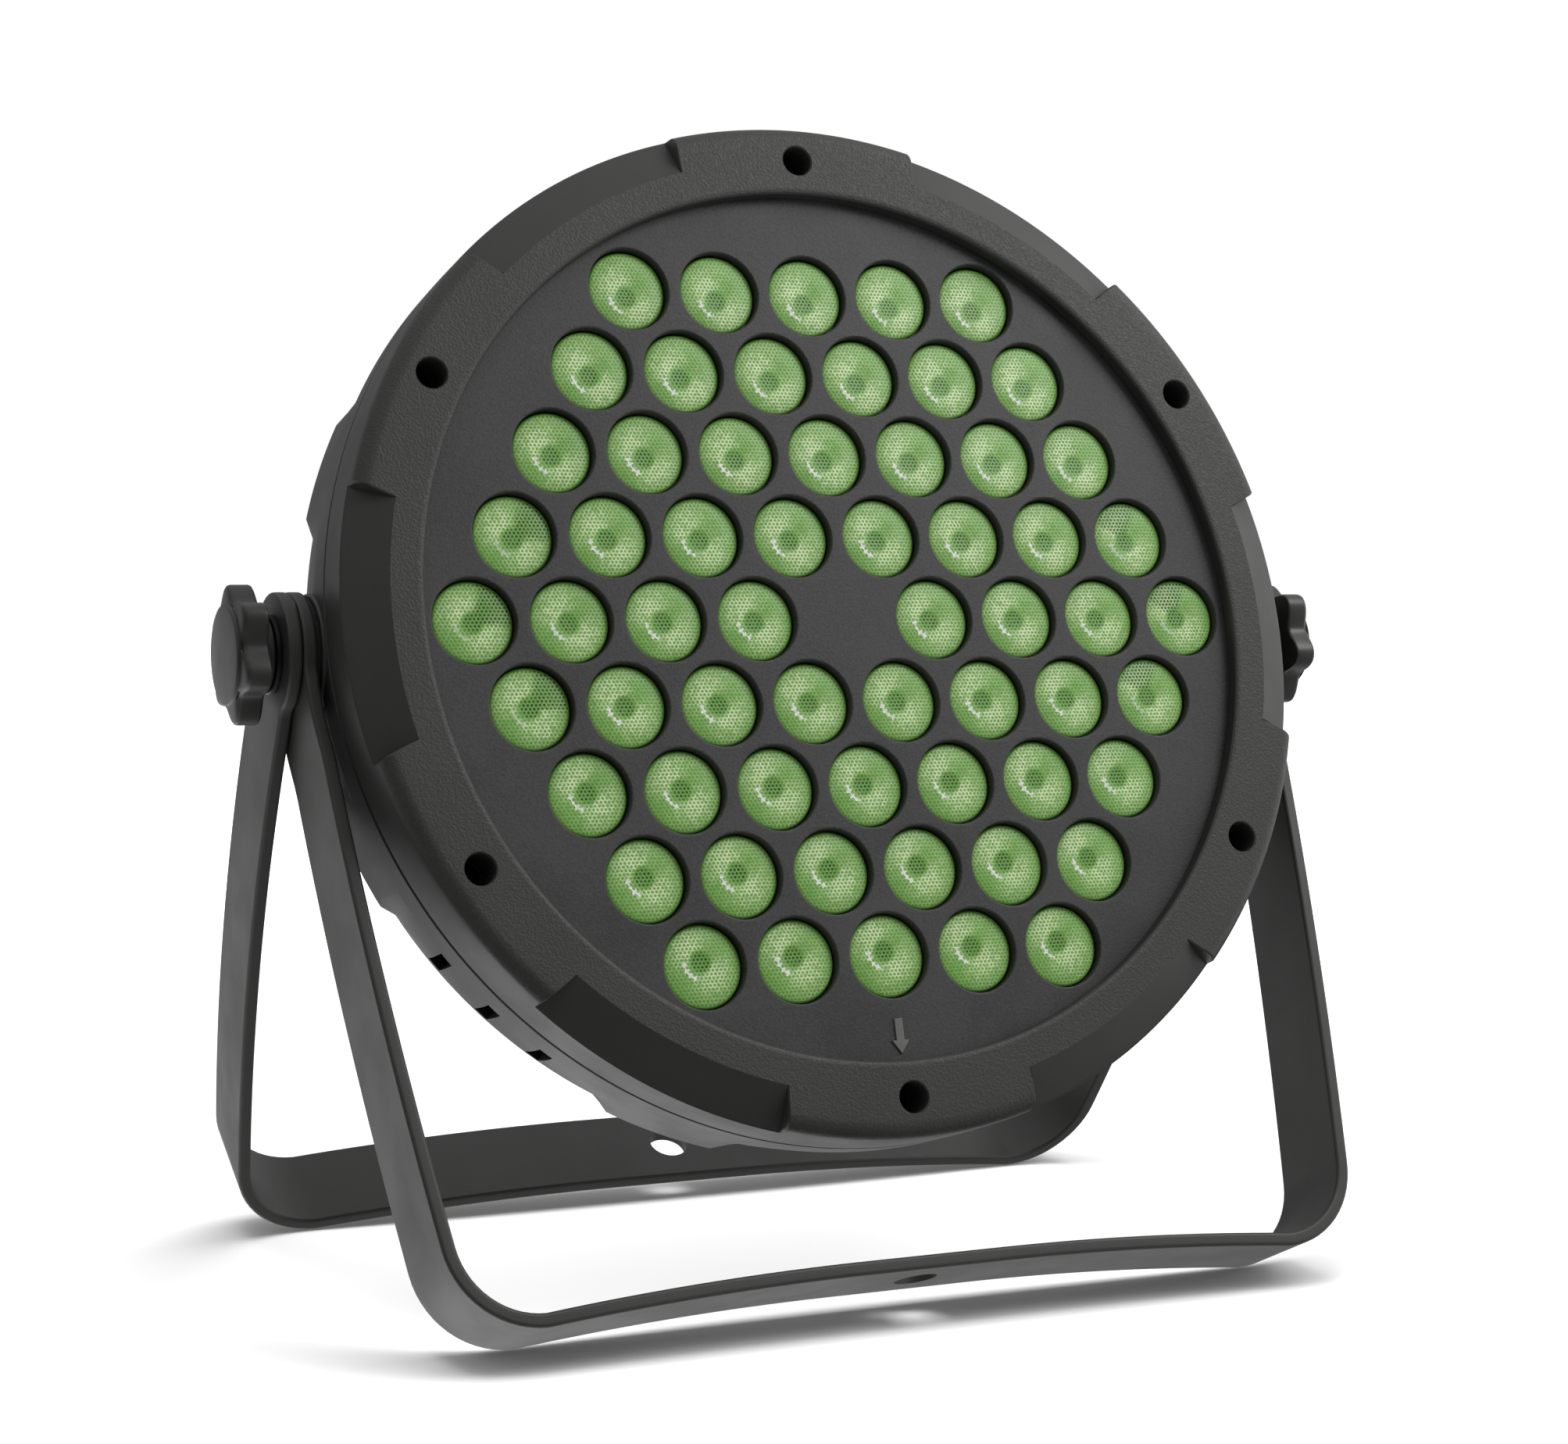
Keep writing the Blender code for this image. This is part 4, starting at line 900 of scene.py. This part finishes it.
def washer(word, side):
    low, high = REAR_EYE_X + 0.2, KNOB_HUB_X - 0.2
    section = [(4.3, low), (9.1, low), (9.3, low + 0.15), (9.3, high - 0.15), (9.1, high), (4.3, high)]
    bm = bmesh.new()
    add_loft(bm, [[(x, y, z) for x, y in circle(radius, 64)] for radius, z in section], closed=True)
    bm.transform(outward(side))
    node = f"{word}_washer"
    piece(f"{node}_ring", bm, "steel", ["black_steel"], [node], node, AXIS_FRAME)


# ---- the back: guard, sockets, inlet, buttons, panel

def fan_guard():
    """Three rings of slots round a hub, each bar with eased edges."""
    bm = bmesh.new()
    cx, cy = FAN_CENTRE
    holes = []
    for inner, outer, gap in GUARD_RINGS:
        for i in range(4):
            turns = [math.radians(90 * i + gap + (90 - 2 * gap) * k / 14) for k in range(15)]
            hole = [(cx + outer * math.cos(t), cy + outer * math.sin(t)) for t in turns]
            hole += [(cx + inner * math.cos(t), cy + inner * math.sin(t)) for t in turns[::-1]]
            holes.append(hole)
    add_plate(bm, circle(26.4, 96, FAN_CENTRE), holes, BACK_Z - 0.3, BACK_Z - 2.2, 0.5, 0.35)
    piece("fan_guard_skin", bm, "black_plastic", replaces=["fan_guard"])


def socket(name, x, female):
    """A signal socket: a nickel flange, and an insert with pin holes and a latch, or with pins."""
    bm = bmesh.new()
    holes = [circle(1.7, 24, (x + sx, SIGNAL_Y + sy)) for sx, sy in SOCKET_SCREWS]
    holes.append(circle(9.6, 64, (x, SIGNAL_Y)))
    top = BACK_Z - 2.4
    add_plate(bm, rounded(26, 31, (x, SIGNAL_Y), 3.0), holes, BACK_Z - 0.3, top, 0.4, 0.2)
    piece(f"{name}_flange", bm, "steel", ["socket_nickel"], [name])
    bm = bmesh.new()
    profile = [(0, -63), (11.5, -63), (11.5, top + 0.9)]
    if female:
        profile += [(9.4, top + 0.9), (9.4, top + 0.1), (8.8, top - 0.1), (0, top - 0.1)]
    else:
        profile += [(9.5, top + 0.9), (9.3, top + 0.2), (9.0, top + 0.2), (8.9, -73.2), (0, -73.2)]
    add_lathe(bm, profile, 64, (x, SIGNAL_Y))
    if female:
        cuts = bmesh.new()
        hole = [(0, -76.0), (1.3, -76.0), (1.3, top + 0.2), (1.7, top - 0.4), (0, top - 0.4)]
        for px, py in SOCKET_PINS:
            add_lathe(cuts, hole, 24, (x + px, SIGNAL_Y + py))
        add_box(cuts, (x - 3.3, SIGNAL_Y + 7.5, -79.0), (x + 3.3, SIGNAL_Y + 10.3, top - 2))
        bm = combine(bm, cuts)
    piece(f"{name}_insert", bm, "black_plastic")
    if not female:
        bm = bmesh.new()
        pin = [(0, -71.0), (1.2, -71.0), (1.2, -81.9), (1.0, -82.6), (0.5, -83.0), (0, -83.0)]
        for px, py in SOCKET_PINS:
            add_lathe(bm, pin, 20, (x + px, SIGNAL_Y + py))
        piece(f"{name}_pins", bm, "steel")


def power_inlet():
    bm = bmesh.new()
    well = [(-12, -50), (12, -50), (12, -37.5), (8, -33.5), (-8, -33.5), (-12, -37.5)]
    drawer = [(-9.3, -59.3), (9.3, -59.3), (9.3, -52.7), (-9.3, -52.7)]
    holes = [circle(1.7, 24, (sx, INLET_Y + sy)) for sx, sy in INLET_SCREWS] + [well, drawer]
    add_plate(bm, rounded(50, 32, (0, INLET_Y), 4.5), holes, BACK_Z - 0.3, BACK_Z - 2.8, 0.5, 0.15)
    piece("inlet_flange", bm, "black_plastic", replaces=["power_inlet"])
    bm = bmesh.new()
    add_prism(bm, rounded(29, 29, (0, INLET_Y), 0.5), -64.0, BACK_Z - 0.5)
    cuts = bmesh.new()
    add_prism(cuts, well, -71.5, BACK_Z - 5)
    add_prism(cuts, drawer, -70.5, BACK_Z - 5)
    piece("inlet_well", combine(bm, cuts), "black_plastic")
    bm = bmesh.new()
    for spot in ((-7.0, -44.0), (7.0, -44.0), (0.0, -39.5)):
        add_prism(bm, rounded(2.0, 4.4, spot, 0.3, 3), -84.0, -71.0, 0.25)
    piece("inlet_blades", bm, "steel")


def fuse_drawer():
    bm = bmesh.new()
    add_prism(bm, rounded(18, 6, (0, -56), 0.7), -70.8, BACK_Z - 4.0, 0.35)
    grip = bmesh.new()
    add_prism(grip, rounded(7, 2.0, (0, -56.6), 0.9), BACK_Z - 3.3, BACK_Z - 5)
    bm = combine(bm, grip)
    piece("fuse_drawer_skin", bm, "black_plastic", replaces=["fuse_drawer"], body="fuse_drawer")


def control_panel():
    bm = bmesh.new()
    holes = [rounded(34.0, 14.0, (WINDOW_X, PANEL_Y), 0.6)]
    holes += [circle(BUTTON_HOLE_R, 36, spot) for spot in BUTTONS.values()]
    add_plate(bm, rounded(64, 26, (0, PANEL_Y), 3.5), holes, BACK_Z - 0.3, BACK_Z - 1.8, 0.4, 0.2)
    piece("control_panel_skin", bm, "panel_plastic", ["panel"], ["control_panel"])
    profile = [(0, -79.6), (3.8, -79.6), (3.8, -82.4), (2.7, -82.4), (2.7, -88.5), (2.6, -88.85),
               (2.35, -89.1), (1.9, -89.2), (1.2, -89.12), (0, -89.05)]
    for name, spot in BUTTONS.items():
        bm = bmesh.new()
        add_lathe(bm, profile, 36, spot)
        piece(f"{name}_cap", bm, "button_grey", replaces=[name], body=name)


def digits():
    """Four unlit seven-segment places behind the window, slanted as on a real display."""
    bm = bmesh.new()
    width, height, bar = 4.2, 8.4, 0.85
    z = BACK_Z - 0.15
    tip = bar / 2
    bars = [(0, height / 2, 1), (0, 0, 1), (0, -height / 2, 1)]
    bars += [(sx * width / 2, sy * height / 4, 0) for sx in (-1, 1) for sy in (-1, 1)]
    for place in range(4):
        cx = WINDOW_X + (place - 1.5) * 7.4
        for bx, by, flat in bars:
            end = ((width if flat else height / 2) - bar * 1.3) / 2
            loop = [(-end, 0), (tip - end, -tip), (end - tip, -tip), (end, 0), (end - tip, tip),
                    (tip - end, tip)]
            if not flat:
                loop = [(-y, x) for x, y in loop]
            shown = [(cx + bx + x - 0.12 * (by + y), PANEL_Y + by + y) for x, y in loop]
            add_prism(bm, shown, z, z - 0.08)
    piece("display_segments", bm, "window", ["segment"])


def safety_eye():
    """A steel bow on a round foot, for a safety cable."""
    bm = bmesh.new()
    foot = [(0, -79.0), (2.0, -79.0), (2.0, -86.3), (6.1, -86.3), (6.5, -86.6), (6.5, -88.0),
            (6.1, -88.35), (0, -88.4)]
    add_lathe(bm, foot, 48, SAFETY_EYE)
    bow_r, wire_r = 5.2, 1.4
    path = [Vector((-bow_r, -87.6))]
    for t in [math.radians(10 * i) for i in range(19)]:
        path.append(Vector((-bow_r * math.cos(t), -93.2 - bow_r * math.sin(t))))
    path.append(Vector((bow_r, -87.6)))
    rings = []
    for i, here in enumerate(path):
        along = (path[min(i + 1, len(path) - 1)] - path[max(i - 1, 0)]).normalized()
        ring = []
        for side, deep in circle(wire_r, 16):
            ring.append((SAFETY_EYE[0] + here.x - along.y * side, SAFETY_EYE[1] + deep,
                         here.y + along.x * side))
        rings.append(ring)
    bow = bmesh.new()
    add_loft(bow, rings)
    piece("safety_eye_bow", combine(bm, bow, "UNION"), "steel", replaces=["safety_eye"])


# ---- looks

# Colour, roughness, grain and its depth in mm, mottling, metal, coat and stretch of the grain
GRAINED = {
    "bezel_smooth": ((0.036, 0.0355, 0.034), 0.5, 0.5, 0.02, 0.08),
    "housing": ((0.04, 0.0395, 0.038), 0.5, 0.45, 0.05, 0.12),
    "panel": ((0.042, 0.04, 0.04), 0.55, 0.6, 0.06, 0.34),
    "arrow": ((0.16, 0.157, 0.152), 0.5, 0.3, 0.02),
    "bracket": ((0.045, 0.0445, 0.0425), 0.48, 0.5, 0.02, 0.1),
    "knob": ((0.034, 0.0335, 0.032), 0.38, 0.5, 0.012, 0.08),
    "lens_web": ((0.006, 0.04, 0.018), 0.35, 0.8, 0.02),
    "lens_acrylic": ((0.1, 0.3, 0.06), 0.3, 0.8, 0.02),
    "aluminium": ((0.6, 0.6, 0.6), 0.35, 0.25, 0.01, 0.06, 1.0, 0.0, (1, 12, 12)),
    "steel": ((0.56, 0.56, 0.57), 0.28, 0.4, 0.006, 0.08, 1.0),
    "socket_nickel": ((0.4, 0.39, 0.37), 0.34, 0.3, 0.008, 0.08, 1.0),
    "brass": ((0.7, 0.5, 0.2), 0.3, 0.3, 0.006, 0.06, 1.0),
    "rubber": ((0.02, 0.02, 0.02), 0.8, 0.4, 0.04, 0.2),
    "black_plastic": ((0.018, 0.018, 0.018), 0.45, 0.4, 0.015, 0.12),
    "window": ((0.035, 0.004, 0.004), 0.12, 3.0, 0.004, 0.1, 0.0, 0.6),
    "segment": ((0.2, 0.035, 0.03), 0.3, 0.5, 0.004, 0.05),
    "button_grey": ((0.22, 0.22, 0.215), 0.5, 0.35, 0.02),
    "black_steel": ((0.05, 0.05, 0.052), 0.35, 0.3, 0.008, 0.1, 1.0),
    "winding": ((0.7, 0.52, 0.08), 0.45, 0.4, 0.03, 0.1, 0.0, 0.0, (1, 6, 1)),
    "can_blue": ((0.03, 0.05, 0.16), 0.3, 0.5, 0.01, 0.06, 0.0, 0.3),
}
materials = {name: grained(name, *row) for name, row in GRAINED.items()}
materials["bezel_pebble"] = pebbled("bezel_pebble", (0.041, 0.04, 0.038), 0.55)
materials["lens"] = lens_acrylic("lens")
materials["board_white"] = board("board_white", (0.75, 0.77, 0.75), (0.5, 0.5, 0.47))
materials["board_green"] = board("board_green", (0.015, 0.14, 0.05), (0.04, 0.25, 0.09))

front_bezel()
lens_panel()
lens_array()
rear_housing()
bracket("front_bracket", FRONT, FRONT_STRAP, FRONT_WIDTHS)
bracket("rear_bracket", REAR, REAR_STRAP, REAR_WIDTHS)
for side, word, degrees in ((-1, "left", 8.4), (1, "right", -16.0)):
    knob(word, side, math.radians(degrees) - side * (math.pi / 2 - FACE_TURN))
    washer(word, side)
for number, spot in enumerate(SCREWS, 1):
    cross_screw(f"bezel_screw_{number}", spot, 3.2, 2.2, -4.8, 1, "black_steel")
fan_guard()
socket("signal_in_socket", -SIGNAL_X, False)
socket("signal_out_socket", SIGNAL_X, True)
power_inlet()
fuse_drawer()
control_panel()
digits()
safety_eye()
for place, x, y, spots, proud in (("inlet", 0, INLET_Y, INLET_SCREWS, 3.0),
                                  ("signal_in", -SIGNAL_X, SIGNAL_Y, SOCKET_SCREWS, 2.6),
                                  ("signal_out", SIGNAL_X, SIGNAL_Y, SOCKET_SCREWS, 2.6)):
    for number, (sx, sy) in enumerate(spots, 1):
        cross_screw(f"{place}_screw_{number}", (x + sx, y + sy), 2.6, 1.5, BACK_Z - proud, -1, "steel")

# Pieces that stay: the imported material's name picks the look
for node in frame["nodes"].values():
    for place in node.material_slots:
        base = place.material.name.split(".")[0]
        place.material = materials.get(base, materials["black_plastic"])


# ---- studio

def lobe(graph, heading, direction, power, strength):
    """Soft light from one direction of the sky."""
    inputs = {0: heading, 1: Vector(direction).normalized()}
    made = graph.node("ShaderNodeVectorMath", inputs, operation="DOT_PRODUCT")
    along = graph.math("MAXIMUM", made.outputs["Value"], 0.0)
    return graph.times(graph.math("POWER", along, power), strength)


def area_lamp(name, place, size, power):
    light = bpy.data.lights.new(name, "AREA")
    light.size = size
    light.energy = power
    lamp = stand(name, light)
    lamp.location = place
    return lamp


def sky():
    """Plain white to the camera, soft light from a few directions to the rest."""
    world = bpy.data.worlds.new("studio")
    world.use_nodes = True
    bpy.context.scene.world = world
    graph = Graph(world.node_tree)
    heading = graph.node("ShaderNodeTexCoord").outputs["Generated"]
    light = SKY_BASE
    for direction, power, strength in SKY:
        light = graph.math("ADD", lobe(graph, heading, direction, power, strength), light)
    seen = graph.node("ShaderNodeLightPath").outputs["Is Camera Ray"]
    strength = graph.math("ADD", graph.times(light, graph.math("SUBTRACT", 1.0, seen)), seen)
    background = graph.node("ShaderNodeBackground", {"Color": (1.0, 1.0, 1.0), "Strength": strength})
    graph.node("ShaderNodeOutputWorld", {"Surface": background.outputs[0]})


def white_floor():
    """A floor that takes shadows and is plain white further out. It throws no light back."""
    bm = bmesh.new()
    bmesh.ops.create_grid(bm, x_segments=1, y_segments=1, size=4.0)
    floor = stand("floor", use_up(bm, "floor"))
    floor.location.z = -0.0002
    white, graph, shader = new_material("floor_white")
    graph.put(shader.inputs["Base Color"], (0.9, 0.9, 0.9))
    graph.put(shader.inputs["Roughness"], 0.9)
    graph.put(shader.inputs["Emission Color"], (1.0, 1.0, 1.0))
    glow = graph.smooth(graph.length(graph.place()), *FLOOR_FADE, FLOOR_GLOW, 1.0)
    graph.put(shader.inputs["Emission Strength"], glow)
    floor.data.materials.append(white)
    floor.visible_diffuse = False
    floor.visible_glossy = False
    floor.visible_shadow = False
    return floor


def studio():
    bpy.context.scene.view_settings.view_transform = "Standard"
    sky()
    floor = white_floor()
    key = area_lamp("key", KEY_PLACE, KEY_SIZE, KEY_POWER)
    aim = Vector(KEY_AIM) - Vector(KEY_PLACE)
    key.rotation_euler = aim.to_track_quat("-Z", "Y").to_euler()

    # Lights the floor alone, and only the two straps shade it
    wash = area_lamp("floor_wash", WASH_PLACE, WASH_SIZE, WASH_POWER)
    only_floor = bpy.data.collections.new("only_floor")
    only_floor.objects.link(floor)
    wash.light_linking.receiver_collection = only_floor
    only_straps = bpy.data.collections.new("only_straps")
    for name in ("front_bracket_strap", "rear_bracket_strap"):
        only_straps.objects.link(bpy.data.objects[name])
    wash.light_linking.blocker_collection = only_straps


studio()

camera = stand("camera", bpy.data.cameras.new("camera"))
camera.data.lens = CAMERA_LENS
camera.data.sensor_width = 36.0
camera.location = CAMERA_PLACE
camera.rotation_euler = [math.radians(a) for a in CAMERA_TURN]
bpy.context.scene.camera = camera
